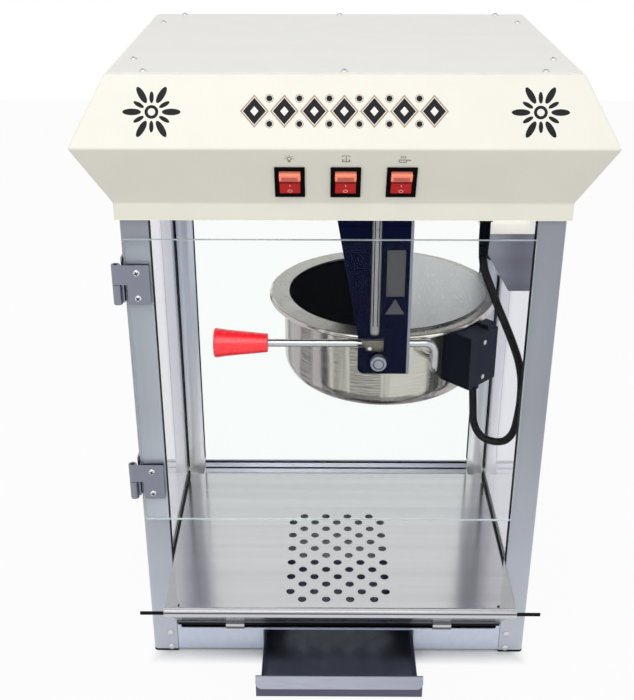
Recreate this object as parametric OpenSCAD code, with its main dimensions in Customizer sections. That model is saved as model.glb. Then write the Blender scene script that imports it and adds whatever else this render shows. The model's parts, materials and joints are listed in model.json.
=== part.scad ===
// Countertop popcorn maker: glazed cabinet on four extruded posts, lit canopy with three
// rocker switches, tilting kettle with a driven stirrer, serving chute and crumb drawer.
// X is the width, Y the depth with the front towards -Y, Z is up, all in millimetres.
// Places along Y are measured from the front faces of the posts; set_back() then moves
// every piece so that the origin lies under the centre of the whole machine.

/* [Cabinet] */
// Width over the corner posts
cabinet_w = 482; // [460:1:500]
// Depth over the corner posts
cabinet_d = 383; // [375:1:400]
// Side of a square corner post
post_size = 31.6; // [28:0.1:34]
// Radius of a post's outer corner
post_corner_r = 5; // [1:0.5:7]
// Radius of the cove along a post's inner corner
cove_r = 21; // [16:0.5:22]
// Height of the deck above the table
deck_z = 50; // [48:1:60]
// Height of the ceiling plate above the table
ceiling_z = 598; // [590:1:620]
// Height of the rubber feet
foot_h = 3; // [2:0.5:3.5]
// Thickness of the folded sheet metal
sheet_t = 1.2; // [0.8:0.1:1.5]

/* [Glass] */
// Thickness of all glass panes
glass_t = 4; // [3:0.5:4]
// Distance from the cabinet's outer faces to the panes
glass_inset = 5; // [4:0.5:5]
// Depth of the glass slots in the posts
slot_depth = 8; // [6:0.5:9]
// Height of the rubber under the side panes
gasket_h = 6; // [5:0.5:8]
// Height of the sill under the back pane
sill_h = 14; // [12:1:20]

/* [Deck] */
// Diameter of a sifting hole
sift_d = 11.4; // [9:0.2:12]
// Distance between two holes of a row
sift_pitch = 31.9; // [28:0.1:34]
// Distance between two rows of holes
sift_row_pitch = 16; // [14:0.5:18]
// Number of rows
sift_rows = 13; // [7:2:13]
// Holes in the shorter rows
sift_short_row = 4; // [2:1:6]
// Distance of the first row from the front of the cabinet
sift_front = 43; // [36:1:60]

/* [Chute] */
// Length of the sloping sheet
chute_len = 125; // [100:1:128]
// Rise of the sloping sheet, in degrees
chute_angle = 46; // [40:1:52]
// Height of the hemmed lip
lip_h = 14; // [10:1:18]
// Thickness of the channel that holds the edge strip
strip_t = 2.8; // [2.4:0.2:4]
// Height of that channel
strip_h = 7.4; // [6:0.2:9]
// How far the edge strip passes each side of the chute
strip_overhang = 28; // [10:1:30]
// Width of a hook tab
hook_w = 24; // [15:1:30]
// Distance of the hook tabs from the middle
hook_x = 134; // [125:1:170]

/* [Drawer] */
// Width of the crumb tray
tray_w = 192; // [160:1:196]
// Length of the crumb tray
tray_len = 240; // [200:1:260]
// Height of the tray's rim above the table
tray_top = 33; // [28:0.5:33]
// Height of the tray's underside above the table
tray_bottom = 5.5; // [5.5:0.5:8]
// Thickness of the tray's sheet
tray_t = 1; // [0.8:0.1:1.5]
// How far the drawer stands open at rest
drawer_out = 84; // [60:1:100]
// How far the drawer front passes each side of the tray
front_overhang = 7; // [5:0.5:12]
// Length of the sloping finger lip
finger_lip = 16; // [10:1:20]

/* [Canopy] */
// Width of the canopy across its ridge
ridge_w = 560; // [540:1:580]
// How far the ridge stands in front of the posts
ridge_out = 36; // [30:1:45]
// Height of the ridge above the ceiling plate
ridge_rise = 82.7; // [75:0.1:95]
// Height of the roof above the ridge
roof_rise = 67.7; // [55:0.1:80]
// How far the canopy's band hangs below the ceiling plate
band_drop = 3; // [2:0.5:6]
// Height of the canopy's band
band_h = 19; // [15:0.5:24]
// Clearance of the band around the posts
band_out = 4; // [3:0.5:6]
// Width of the flat roof
roof_w = 487.6; // [470:0.2:500]
// Width of the flange that carries the cover
cover_flange = 28; // [24:1:34]
// Distance of the cover's edge from the edge of the roof
cover_inset = 3; // [2:0.5:6]

/* [Switches] */
// Width of a switch bezel
bezel_w = 31.5; // [28:0.5:34]
// Height of a switch bezel
bezel_h = 40; // [36:0.5:42]
// Distance between two switches
switch_pitch = 58; // [50:1:70]
// Place of the middle switch across the canopy
switch_x = 2; // [-10:1:10]
// Distance of the switches' middle line below the ridge, along the slant
switch_drop = 43; // [40:0.5:46]
// Width of a rocker
rocker_w = 22; // [18:0.5:23]
// Height of a rocker
rocker_h = 28.4; // [24:0.2:29]
// Swing of a rocker each side of the middle, in degrees
rocker_tilt = 7; // [5:0.5:8]

/* [Door] */
// Left edge of the door, from the middle
door_left = 238; // [236:0.5:239]
// Height of the door's lower edge
door_bottom = 210; // [195:1:230]
// Height of the door's upper edge
door_top = 573; // [560:1:585]
// Distance of the door's back face in front of the posts
door_gap = 2; // [2:0.1:3]
// Height of a hinge leaf
leaf_h = 47; // [40:1:52]
// Width of the hinge leaf on the door
leaf_w = 25; // [22:1:30]
// Lower ends of the two hinges
hinge_zs = [242, 497];
// Outer diameter of a hinge barrel
barrel_d = 10; // [8.6:0.2:10]
// Diameter of a hinge pin
hinge_pin_d = 5; // [4:0.1:5.4]

/* [Kettle] */
// Place of the kettle's centre across the cabinet
kettle_x = 55.5; // [54:0.1:57]
// Height of the top of the rim
rim_z = 438; // [435:1:442]
// Gap between the rim and each hanger plate
rim_gap = 15.5; // [15:0.5:20]
// How far the rim stands out past the shell
rim_w = 19.5; // [16:0.5:22]
// Radius of the rolled edge of the rim
rim_roll_r = 3.5; // [2.5:0.1:3.5]
// Height of the kettle from its base to the rim's top
kettle_h = 112; // [105:1:116]
// Radius of the rounding at the foot of the kettle
foot_round_r = 28; // [15:1:32]
// Distance between the shell's outside and the bowl's inside
bowl_gap = 6; // [5:0.5:8]
// Depth of the cooking bowl
bowl_depth = 84.5; // [80:0.5:88]
// Thickness of the bowl's wall
bowl_t = 1.5; // [1:0.1:2]
// How far the lid rests on the rim
lid_lap = 11; // [8:0.5:14]

/* [Suspension] */
// Place of the tilt axis across the cabinet
pivot_x = 43; // [42.5:0.1:43.5]
// Height of the tilt axis
pivot_z = 416; // [414:0.5:418]
// Thickness of a hanger plate
hanger_t = 2; // [1.5:0.1:2.4]
// Place of the front hanger's front face
hanger_front_y = 19; // [18:0.5:19]
// Distance of the rear hanger's front face from the back of the cabinet
hanger_rear_in = 40; // [39:0.5:41]
// Depth of the fold along a hanger's right edge
hanger_return = 5; // [3:0.5:5.5]
// Diameter of the front pivot pin
pivot_pin_d = 10; // [8:0.1:11]
// Diameter of the hollow rear pivot
trunnion_d = 16; // [14:0.1:17]
// Diameter of the pivot knob
knob_d = 19.3; // [16:0.1:22]
// Width of the pressed rib on the front hanger
rib_w = 13.1; // [8:0.1:14]

/* [Handle] */
// Diameter of the tilting rod
rod_d = 9; // [7:0.1:9]
// Place of the rod behind the front hanger
rod_y = 30; // [29.5:0.1:30.5]
// Height of the rod
rod_z = 433.5; // [433:0.1:434]
// Place of the rod's bend across the cabinet
rod_bend_x = 109.7; // [104:0.1:114]
// Length of the grip
grip_len = 62.5; // [50:0.5:75]
// Larger diameter of the grip
grip_d_end = 34.7; // [26:0.1:35]
// Smaller diameter of the grip
grip_d_neck = 22; // [16:0.1:24]
// Place of the grip's outer end, left of the middle
grip_end_x = 147.5; // [130:0.5:160]

/* [Drive] */
// Diameter of the vertical drive rod and the cross shaft
shaft_d = 6; // [5:0.1:6.5]
// Room between the rear hanger and the bevel gears
bevel_room = 5; // [4.5:0.1:5.5]
// Pitch radius of the bevel gears
bevel_r = 10; // [8:0.1:10]
// Radius of the worm on the cross shaft
worm_r = 4.2; // [3.8:0.1:4.6]
// Diameter of the stirrer's shaft
stirrer_d = 8; // [7:0.1:9]
// Gap between a stirrer arm's end and the bowl's wall
stirrer_gap = 16; // [12:1:40]
// Turn of the stirrer arms from the X axis, in degrees
stirrer_turn = 28; // [0:1:90]

/* [Connector] */
// How far the connector housing stands out past the rim
housing_out = 19.5; // [14:0.5:22]
// Width of the connector housing
housing_w = 52; // [44:1:54]
// Height of the connector housing
housing_h = 68; // [55:1:70]
// Direction of the housing around the kettle, in degrees
housing_dir = -45; // [-48:1:-42]
// Length of the gland under the housing
gland_len = 12.5; // [10:0.5:16]
// Diameter of the kettle's cord
cord_d = 9.5; // [7:0.1:10]

/* [Lamp] */
// Front of the lamp shade
shade_y = 100; // [96:1:104]
// Left edge of the lamp shade
shade_x0 = 166.5; // [165:0.5:170]
// Right edge of the lamp shade
shade_x1 = 229; // [222:0.5:230]
// Height of the shade's top
shade_top = 543; // [540:1:550]
// Height of the shade's lower edge
shade_low = 470; // [468:1:475]
// Depth of the shade's top plate
shade_deep = 50; // [45:1:60]

/* [Fits] */
// Gap between pieces that seat on one another
seat_gap = 0.2; // [0.1:0.05:0.3]
// Radial clearance of a running fit
run_gap = 0.05; // [0.02:0.01:0.1]
// Gap around the glass in its slots
slot_gap = 0.3; // [0.2:0.05:0.4]
// Gap between a lid leaf and what it lies on
lid_gap = 0.4; // [0.3:0.05:0.6]
// Gap between moving pieces that pass each other
pass_gap = 0.3; // [0.3:0.1:0.6]

/* [Screws] */
// Diameter of a screw's shank
screw_d = 4; // [3:0.1:4.4]
// Diameter of a screw's head
screw_head_d = 8.4; // [7:0.1:9]
// Height of a screw's head
screw_head_h = 2.4; // [1.8:0.1:3]
// Heights of the screws in a post's foot
foot_screw_zs = [7, 30];
// Distance of the foot screws from the cabinet's side
foot_screw_in = 23; // [21:0.5:25]

/* [Hidden] */
$fn = 64;

// Colours
steel_c = [0.72, 0.72, 0.72];
zinc_c = [0.72, 0.77, 0.85];
alu_c = [0.65, 0.67, 0.72];
paint_c = [0.94, 0.93, 0.87];
black_c = [0.05, 0.05, 0.06];
glass_c = [0.8, 0.9, 0.9, 0.35];
navy_c = [0.04, 0.06, 0.16];
red_c = [0.9, 0.12, 0.15];

// Frame
half_w = cabinet_w / 2;
inner_x = half_w - post_size - seat_gap;
inner_back_y = cabinet_d - post_size - seat_gap;
panel_y = 1;
chute_foot_y = panel_y - seat_gap;
chute_foot_z = deck_z - 1;
hem_h = 2.2;
lip_y = chute_foot_y - cos(chute_angle) * chute_len;
lip_top = chute_foot_z + sin(chute_angle) * chute_len + hem_h;
strip_front_y = lip_y - sheet_t - seat_gap - strip_t;
strip_z = lip_top - lip_h / 2;
front_y = -(strip_front_y + cabinet_d + ridge_out) / 2;

// Base
skirt_top = tray_top + 4;
chute_slot_h = 5.4;
chute_slot_end = 5;
tab_lap = 3;
opening_top = tray_top + 1;
opening_half = tray_w / 2 + 1.5;
under_deck = deck_z - sheet_t;
runner_x = tray_w / 2 + 1.2;
rail_in = 4.5;
deck_flange_h = 5;
skirt_flange = 12;
cheek_back_y = 10;

// Glass
pane_x = half_w - glass_inset - glass_t;
pane_back_y = cabinet_d - glass_inset - glass_t;
pane_end = post_size - slot_depth + 0.4;
pane_top = ceiling_z - pass_gap;
bed_t = 3;
gasket_side = 1.4;

// Canopy
band_z = ceiling_z - band_drop;
flare_z = band_z + band_h;
ridge_z = ceiling_z + ridge_rise;
roof_z = ridge_z + roof_rise;
band_half = half_w + band_out;
undercut_run = ridge_out - band_out - 1;
undercut_angle = atan(undercut_run / (ridge_z - flare_z));
skin_run = sheet_t * 1.13;
cover_screw_front = 9;
cover_screw_side = 19.3;
cover_screw_wide = 205;
cover_screw_deep = 72;

inlet_x = -150;
inlet_d = 16;

// Switches
bezel_t = 2;
switch_body_w = rocker_w + 4.6;
switch_body_h = rocker_h + 7;
switch_deep = 22;
rocker_axis_deep = 5;
rocker_pin_d = 3;

// Door
door_back_y = -door_gap;
door_front_y = door_back_y - glass_t;
leaf_t = 2;
hinge_x = -(half_w + 7);
hinge_y = door_front_y + 2;
back_leaf_t = 1.5;
leaf_right = -door_left + 2 + leaf_w;
leaf_screw_zs = [8, 38];
leaf_screw_x = -225;
leaf_screw_y = 14;
side_leaf_end = 24;

// Suspension
hanger_rear_y = cabinet_d - hanger_rear_in;
hanger_right = 78.8;
hanger_low = 399;
hanger_left_low = 19;
hanger_lean_z = 445;
hanger_lean = 0.176;
lobe_round_r = 8;
hanger_flange = 24;
notch_low = 11;
notch_step = 16.5;
notch_high = 27.5;
notch_in = 9;
notch_right = 6;
rib_off = 4.85;
rib_rise = 32;
blank_t = 0.6;
blank_off = 17.3;
blank_half = 10.3;
blank_zs = [81, 136.5];
mark_half = 11;
mark_zs = [59, 78];

// Kettle
kettle_room = (hanger_rear_y - hanger_front_y - hanger_t) / 2;
kettle_y = hanger_front_y + hanger_t + kettle_room;
rim_r = kettle_room - rim_gap;
shell_r = rim_r - rim_w;
bowl_r = shell_r - bowl_gap;
bowl_round_r = 14;
lid_r = bowl_r + lid_lap;
base_z = rim_z - kettle_h;
bowl_floor_z = rim_z - bowl_depth;
rim_t = 2.5;
wall_top = rim_z - rim_t;
heater_r = bowl_r - 20;
heater_h = 14;
lid_t = 1.2;
lid_axis_z = rim_z + lid_t + 0.25;
knuckle_r = 2.6;
lid_pin_d = 2;
hinge_half = lid_r - 31;
knuckle_ys = [-0.6 * hinge_half, 0.6 * hinge_half];
knuckle_len = 30;

// Pivot blocks
block_in = shell_r - 16;
block_left = 24;
block_right = 62;
block_low = 402;
block_high = rim_z - rim_roll_r * 2 - 1.5;
rod_clear = 6.5;
block_play = 2;

// Handle
bend_r = 12;
back_r = 10;
drop_len = 24;
grip_socket = 8;

// Drive
drive_y = hanger_rear_y + hanger_t + bevel_r + bevel_room;
stirrer_reach = bowl_r - stirrer_gap;
worm_wheel_r = kettle_x - pivot_x - worm_r - 0.3;
case_wall = 3;

// Lamp
lamp_x = shade_x0 + 25.5;
lamp_y = shade_y + 25;
holder_low = shade_top - 40;

// Switch places across the canopy
switch_xs = [for (i = [-1, 0, 1]) switch_x + i * switch_pitch];

// Connector
housing_top = rim_z - 2 * rim_roll_r - 0.5;
housing_low = housing_top - housing_h;
housing_reach = rim_r + housing_out;
gland_reach = housing_reach - 16;
gland_side = 4.7;
lug_w = 16;
lug_in = 2;
lug_h = 6;
gland = [
    kettle_x + cos(housing_dir) * gland_reach - sin(housing_dir) * gland_side,
    kettle_y + sin(housing_dir) * gland_reach + cos(housing_dir) * gland_side,
    housing_low - gland_len
];

// Outlet
plug_len = 46;
plug_taper = 22;
plug_place = [shade_x0 - 3.5, shade_y - 36, ceiling_z - 72];
socket_z = plug_place[2] + plug_len;

// Route of the kettle's cord: down from the gland and round, then up to the plug
cord_fall = [
    [0, 0, 0], [1, -1, -15], [2, -2, -30], [3, -4, -44], [7, -7, -56], [15, -11, -65],
    [27, -16, -68], [39, -21, -65], [47, -24, -56], [51, -27, -42], [53, -29, -22],
    [54, -30, 0]
];
cord_rise = [
    [54, -14, -150], [49, -13, -126], [41, -11, -104], [32, -8, -83], [21, -5, -59],
    [11, -2, -35], [3, 0, -15], [0, 0, 0]
];
cord_points = concat(
    [for (step = cord_fall) gland + step], [for (step = cord_rise) plug_place + step]);

// ---------- Helpers ----------

module set_back() {
    translate([0, front_y, 0]) children();
}

// A box given by its lowest and highest corners
module box(low, high) {
    translate(low) cube(high - low);
}

// Both sides of the machine, the child being the right one
module both_sides() {
    children();
    mirror([1, 0, 0]) children();
}

// A cylinder along Y from y0 to y1
module bar_y(x, z, d, y0, y1) {
    translate([x, y0, z]) rotate([-90, 0, 0]) cylinder(h = y1 - y0, d = d);
}

// A cylinder along X from x0 to x1
module bar_x(y, z, d, x0, x1) {
    translate([x0, y, z]) rotate([0, 90, 0]) cylinder(h = x1 - x0, d = d);
}

// A cylinder along Z from z0 to z1
module bar_z(x, y, d, z0, z1) {
    translate([x, y, z0]) cylinder(h = z1 - z0, d = d);
}

// A screw with a domed head; its head stands on z = 0 and its shank points down
module screw(shank) {
    rotate_extrude() {
        intersection() {
            translate([0, screw_head_h - screw_head_d]) circle(screw_head_d);
            square([screw_head_d / 2, screw_head_h]);
        }
        translate([0, -shank]) square([screw_d / 2, shank + 0.1]);
    }
}

// Outline of a post with its outer corner at the origin
module post_outline() {
    difference() {
        union() {
            translate([post_corner_r, 0]) square([post_size - post_corner_r, post_size]);
            translate([0, post_corner_r]) square([post_size, post_size - post_corner_r]);
            translate([post_corner_r, post_corner_r]) circle(post_corner_r);
        }
        translate([post_size, post_size]) circle(cove_r);
    }
}

// Children built with a post's outer corner at the origin, moved to a corner
module at_corner(side, back) {
    translate([side * half_w, back * cabinet_d, 0])
        mirror([max(side, 0), 0, 0])
            mirror([0, back, 0]) children();
}

module post_slot() {
    translate([post_size - slot_depth, glass_inset - slot_gap])
        square([slot_depth + 1, glass_t + 2 * slot_gap]);
}

module post() {
    difference() {
        translate([0, 0, foot_h]) linear_extrude(ceiling_z - foot_h) {
            difference() {
                post_outline();
                post_slot();
                mirror([1, -1, 0]) post_slot();
            }
        }
        for (z = foot_screw_zs)
            bar_y(foot_screw_in, z, screw_d + 2 * run_gap, -1, post_size / 2);
    }
}

// Children built on the canopy's front undercut: origin on the ridge, -Y out of the face
module on_undercut() {
    translate([0, -ridge_out, ridge_z]) rotate([undercut_angle, 0, 0]) children();
}

module on_back_undercut() {
    translate([0, cabinet_d, 0]) mirror([0, 1, 0]) on_undercut() children();
}

// A closed body through level rectangular rings [z, half width, front y, back y]
module ringed_body(rings) {
    n = len(rings);
    pts = [for (r = rings) each [
        [-r[1], r[2], r[0]], [r[1], r[2], r[0]], [r[1], r[3], r[0]], [-r[1], r[3], r[0]]]];
    sides = [for (i = [0 : n - 2], k = [0 : 3])
        [4 * i + k, 4 * i + 4 + k, 4 * i + 4 + (k + 1) % 4, 4 * i + (k + 1) % 4]];
    low = [[0, 1, 2, 3]];
    high = [[4 * n - 1, 4 * n - 2, 4 * n - 3, 4 * n - 4]];
    polyhedron(points = pts, faces = concat(low, sides, high));
}

// ---------- Base ----------

// The front panel, with the drawer's opening and the long slot that the chute hooks into
module base_front_panel() color(zinc_c) set_back() {
    slot_r = chute_slot_h / 2;
    slot_half = inner_x - chute_slot_end - slot_r;
    difference() {
        union() {
            box([-inner_x, panel_y, foot_h],
                [inner_x, panel_y + sheet_t, under_deck - deck_flange_h - seat_gap]);
            box([-inner_x, panel_y, skirt_top - sheet_t],
                [inner_x, panel_y + skirt_flange, skirt_top]);
        }
        box([-opening_half, panel_y - 1, foot_h - 1],
            [opening_half, panel_y + sheet_t + 0.5, opening_top]);
        box([-slot_half, panel_y - 1, skirt_top],
            [slot_half, panel_y + sheet_t + 1, skirt_top + chute_slot_h]);
        both_sides()
            bar_y(slot_half, skirt_top + slot_r, chute_slot_h, panel_y - 1, panel_y + sheet_t + 1);
    }
}

module base_panels() color(zinc_c) set_back() {
    both_sides()
        box([half_w - panel_y - sheet_t, post_size + seat_gap, foot_h],
            [half_w - panel_y, inner_back_y, under_deck]);
    box([-inner_x, cabinet_d - panel_y - sheet_t, foot_h],
        [inner_x, cabinet_d - panel_y, under_deck]);
}

module rubber_feet() color(black_c) set_back() {
    for (side = [-1, 1], back = [0, 1])
        at_corner(side, back) linear_extrude(foot_h) post_outline();
}

module drawer_runners() color(zinc_c) set_back() {
    y0 = panel_y + sheet_t + seat_gap;
    y1 = cabinet_d - y0;
    both_sides() {
        box([runner_x, y0, opening_top], [inner_x, y1, opening_top + sheet_t]);
        box([runner_x, y0, tray_bottom - pass_gap - sheet_t],
            [runner_x + sheet_t, y1, opening_top + 0.1]);
        box([runner_x - rail_in, y0, tray_bottom - pass_gap - sheet_t],
            [runner_x + 0.1, y1, tray_bottom - pass_gap]);
    }
}

// Holes of one row, centred across the deck
module sift_row(count, y) {
    for (i = [0 : count - 1])
        translate([(i - (count - 1) / 2) * sift_pitch, y, under_deck - 1])
            cylinder(h = sheet_t + 2, d = sift_d);
}

module deck_plate() color(steel_c) set_back() {
    notch = post_size + seat_gap;
    edge_x = half_w - panel_y;
    difference() {
        box([-edge_x, panel_y, under_deck], [edge_x, cabinet_d - panel_y, deck_z]);
        both_sides() {
            box([half_w - notch, 0, under_deck - 1], [half_w + 1, notch, deck_z + 1]);
            box([half_w - notch, cabinet_d - notch, under_deck - 1],
                [half_w + 1, cabinet_d + 1, deck_z + 1]);
        }
        for (i = [0 : sift_rows - 1])
            sift_row(sift_short_row + i % 2, sift_front + i * sift_row_pitch);
    }
    box([-inner_x, panel_y, under_deck - deck_flange_h],
        [inner_x, panel_y + sheet_t, under_deck + 0.1]);
}

// ---------- Chute ----------

// A cheek's outline across Y and Z
module cheek_outline() {
    polygon([
        [cheek_back_y, deck_z + seat_gap], [chute_foot_y, deck_z + seat_gap],
        [chute_foot_y, chute_foot_z], [lip_y, lip_top - hem_h],
        [lip_y, lip_top], [cheek_back_y, lip_top]
    ]);
}

// Extrude an outline drawn across Y and Z from x0 to x1
module across(x0, x1) {
    translate([x0, 0, 0]) rotate([90, 0, 90]) linear_extrude(x1 - x0) children();
}

module apron() color(steel_c) set_back() {
    across(-inner_x, inner_x) {
        translate([chute_foot_y, chute_foot_z])
            rotate(180 - chute_angle) square([chute_len, sheet_t]);
        translate([lip_y - sheet_t, lip_top - lip_h]) square([sheet_t, lip_h]);
        translate([lip_y - sheet_t, lip_top - hem_h]) square([2 * sheet_t, hem_h]);
        strip_channel();
    }
    both_sides() {
        across(inner_x - sheet_t, inner_x) cheek_outline();
        box([hook_x - hook_w / 2, chute_foot_y - sheet_t, skirt_top - tab_lap],
            [hook_x + hook_w / 2, chute_foot_y, chute_foot_z + 0.1]);
        box([hook_x - hook_w / 2, chute_foot_y - 0.1, skirt_top + seat_gap],
            [hook_x + hook_w / 2, panel_y + 7, skirt_top + seat_gap + sheet_t]);
    }
}

// Outline of the channel on the lip, across Y and Z
module strip_channel() {
    difference() {
        translate([strip_front_y, strip_z - strip_h / 2])
            square([lip_y - sheet_t - strip_front_y + 0.1, strip_h]);
        translate([strip_front_y + sheet_t, strip_z - strip_h / 2 + sheet_t])
            square([lip_y - 2 * sheet_t - strip_front_y, strip_h - 2 * sheet_t]);
    }
}

// The strip runs through the lip's channel and stands out at both ends
module apron_edge_strip() color(black_c) set_back() {
    half_h = strip_h / 2 - sheet_t - run_gap;
    box([-inner_x - strip_overhang, strip_front_y + sheet_t + run_gap, strip_z - half_h],
        [inner_x + strip_overhang, lip_y - sheet_t - run_gap, strip_z + half_h]);
}

// ---------- Posts and glass ----------

// Holes for the screws of the cabinet-side hinge leaves, in the front left post
module leaf_screw_holes() {
    for (z0 = hinge_zs, dz = leaf_screw_zs)
        bar_x(leaf_screw_y, z0 + dz, screw_d + 2 * run_gap, -half_w - 1, -half_w + 9);
}

module post_front_left() color(alu_c) set_back() {
    difference() {
        at_corner(-1, 0) post();
        leaf_screw_holes();
    }
}

module post_front_right() color(alu_c) set_back() {
    at_corner(1, 0) post();
}

module post_back_left() color(alu_c) set_back() {
    at_corner(-1, 1) post();
}

module post_back_right() color(alu_c) set_back() {
    at_corner(1, 1) post();
}

module post_screws() color(steel_c) set_back() {
    for (side = [-1, 1], back = [0, 1], z = foot_screw_zs)
        at_corner(side, back)
            translate([foot_screw_in, 0, z]) rotate([90, 0, 0]) screw(10);
    for (z0 = hinge_zs, dz = leaf_screw_zs)
        translate([-half_w - leaf_t - run_gap, leaf_screw_y, z0 + dz])
            rotate([0, -90, 0]) screw(9);
}

module side_pane() {
    box([pane_x, pane_end, deck_z + bed_t + 0.5],
        [pane_x + glass_t, cabinet_d - pane_end, pane_top]);
}

module side_glass_left() color(glass_c) set_back() {
    mirror([1, 0, 0]) side_pane();
}

module side_glass_right() color(glass_c) set_back() {
    side_pane();
}

module back_glass() color(glass_c) set_back() {
    box([-half_w + pane_end, pane_back_y, deck_z + sill_h / 2 + 0.3],
        [half_w - pane_end, pane_back_y + glass_t, pane_top]);
}

module glass_gaskets() color(black_c) set_back() {
    both_sides() difference() {
        box([pane_x - gasket_side, post_size + seat_gap, deck_z],
            [pane_x + glass_t + gasket_side, inner_back_y, deck_z + gasket_h]);
        box([pane_x - 0.1, post_size, deck_z + bed_t],
            [pane_x + glass_t + 0.1, inner_back_y + 1, deck_z + gasket_h + 1]);
    }
}

module back_sill() color(steel_c) set_back() {
    difference() {
        box([-inner_x, pane_back_y - 4, deck_z],
            [inner_x, pane_back_y + glass_t + 3, deck_z + sill_h]);
        box([-inner_x - 1, pane_back_y - slot_gap, deck_z + sill_h / 2],
            [inner_x + 1, pane_back_y + glass_t + slot_gap, deck_z + sill_h + 1]);
    }
}

// ---------- Canopy ----------

cover_screw_places = [
    for (x = [-cover_screw_wide, 0, cover_screw_wide],
         y = [cover_screw_front, cabinet_d - cover_screw_front]) [x, y],
    for (x = [-1, 1], y = [cover_screw_deep, cabinet_d - cover_screw_deep])
        [x * (roof_w / 2 - cover_screw_side), y]
];

module cover_screw_holes() {
    for (p = cover_screw_places)
        bar_z(p[0], p[1], screw_d + 2 * run_gap, roof_z - sheet_t - 1, roof_z + sheet_t + 1);
}

module canopy_shell() color(paint_c) set_back() {
    band_front = -band_out - 1;
    band_back = cabinet_d - band_front;
    outer = [
        [band_z, band_half, band_front, band_back],
        [flare_z, band_half, band_front, band_back],
        [ridge_z, ridge_w / 2, -ridge_out, cabinet_d + ridge_out],
        [roof_z, roof_w / 2, 0, cabinet_d]
    ];
    inner = [
        [band_z - 1, band_half - sheet_t, band_front + sheet_t, band_back - sheet_t],
        [flare_z, band_half - sheet_t, band_front + sheet_t, band_back - sheet_t],
        [ridge_z, ridge_w / 2 - skin_run, skin_run - ridge_out,
            cabinet_d + ridge_out - skin_run],
        [roof_z - sheet_t, roof_w / 2 - skin_run, skin_run, cabinet_d - skin_run]
    ];
    open_x = roof_w / 2 - cover_flange;
    difference() {
        ringed_body(outer);
        ringed_body(inner);
        box([-open_x, cover_flange, roof_z - 5], [open_x, cabinet_d - cover_flange, roof_z + 1]);
        cover_screw_holes();
        for (x = switch_xs) on_undercut()
            box([x - switch_body_w / 2 - seat_gap, -3, -switch_drop - switch_body_h / 2 - seat_gap],
                [x + switch_body_w / 2 + seat_gap, 5, -switch_drop + switch_body_h / 2 + seat_gap]);
        on_back_undercut() translate([inlet_x, 0, -switch_drop])
            bar_y(0, 0, inlet_d + 2 * seat_gap, -3, 5);
    }
}

module canopy_cover() color([0.92, 0.91, 0.88]) set_back() {
    edge = roof_w / 2 - cover_inset;
    difference() {
        box([-edge, cover_inset, roof_z], [edge, cabinet_d - cover_inset, roof_z + sheet_t]);
        cover_screw_holes();
    }
}

module cover_screws() color(steel_c) set_back() {
    for (p = cover_screw_places)
        translate([p[0], p[1], roof_z + sheet_t]) screw(3.5);
}

module canopy_floor() color(steel_c) set_back() {
    edge = band_half - sheet_t - seat_gap;
    over = band_out + 1 - sheet_t - seat_gap;
    difference() {
        box([-edge, -over, ceiling_z], [edge, cabinet_d + over, ceiling_z + sheet_t]);
        bar_z(pivot_x, drive_y, shaft_d + 2, ceiling_z - 1, ceiling_z + sheet_t + 1);
    }
}

module switch_bezels() color(black_c) set_back() {
    for (x = switch_xs) on_undercut() translate([x, 0, -switch_drop]) difference() {
        union() {
            box([-bezel_w / 2, -bezel_t, -bezel_h / 2], [bezel_w / 2, 0, bezel_h / 2]);
            box([-switch_body_w / 2, -0.1, -switch_body_h / 2],
                [switch_body_w / 2, switch_deep, switch_body_h / 2]);
        }
        box([-rocker_w / 2 - pass_gap, -bezel_t - 1, -rocker_h / 2 - 1.1],
            [rocker_w / 2 + pass_gap, switch_deep - 6, rocker_h / 2 + 1.1]);
        bar_x(rocker_axis_deep, 0, rocker_pin_d + 2 * run_gap,
            -switch_body_w / 2 - 1, switch_body_w / 2 + 1);
    }
}

// One rocker, tilted about its own pin
module rocker(x) {
    e = rocker_h / 2;
    on_undercut() translate([x, rocker_axis_deep, -switch_drop]) {
        rotate([rocker_tilt, 0, 0]) across(-rocker_w / 2, rocker_w / 2) polygon([
            [-8.5, e], [-6.2, 0], [-8.5, -e], [2, -e * 0.75], [5, 0], [2, e * 0.75]]);
        bar_x(0, 0, rocker_pin_d, -switch_body_w / 2 + 0.3, switch_body_w / 2 - 0.3);
    }
}

module rocker_light() color(red_c) set_back() {
    rocker(switch_xs[0]);
}

module rocker_stir() color(red_c) set_back() {
    rocker(switch_xs[1]);
}

module rocker_heat() color(red_c) set_back() {
    rocker(switch_xs[2]);
}

module gear_motor() color(steel_c) set_back() {
    floor_top = ceiling_z + sheet_t;
    difference() {
        union() {
            box([pivot_x - 30, drive_y - 32, floor_top], [pivot_x + 30, drive_y + 20, floor_top + 30]);
            bar_z(pivot_x, drive_y - 8, 50, floor_top + 29, floor_top + 85);
        }
        bar_z(pivot_x, drive_y, shaft_d + 2 * run_gap, floor_top - 1, floor_top + 20);
    }
}

module mains_inlet() color(black_c) set_back() {
    on_back_undercut() translate([inlet_x, 0, -switch_drop]) difference() {
        union() {
            bar_y(0, 0, inlet_d + 10, -4, 0);
            bar_y(0, 0, inlet_d, -0.1, 18);
        }
        bar_y(0, 0, inlet_d - 7, -5, 19);
    }
}

// ---------- Hangers and lamp ----------

// Outline of a hanger plate across X and Z
module hanger_outline(lobe) {
    top_left = hanger_left_low + 0.3 - hanger_lean * (ceiling_z - hanger_lean_z);
    polygon([
        [top_left, ceiling_z], [hanger_left_low, hanger_lean_z],
        [hanger_left_low, hanger_low + lobe], [hanger_left_low + lobe, hanger_low],
        [hanger_right, hanger_low], [hanger_right, ceiling_z]
    ]);
    translate([hanger_left_low + lobe, hanger_low + lobe]) circle(lobe);
}

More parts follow.
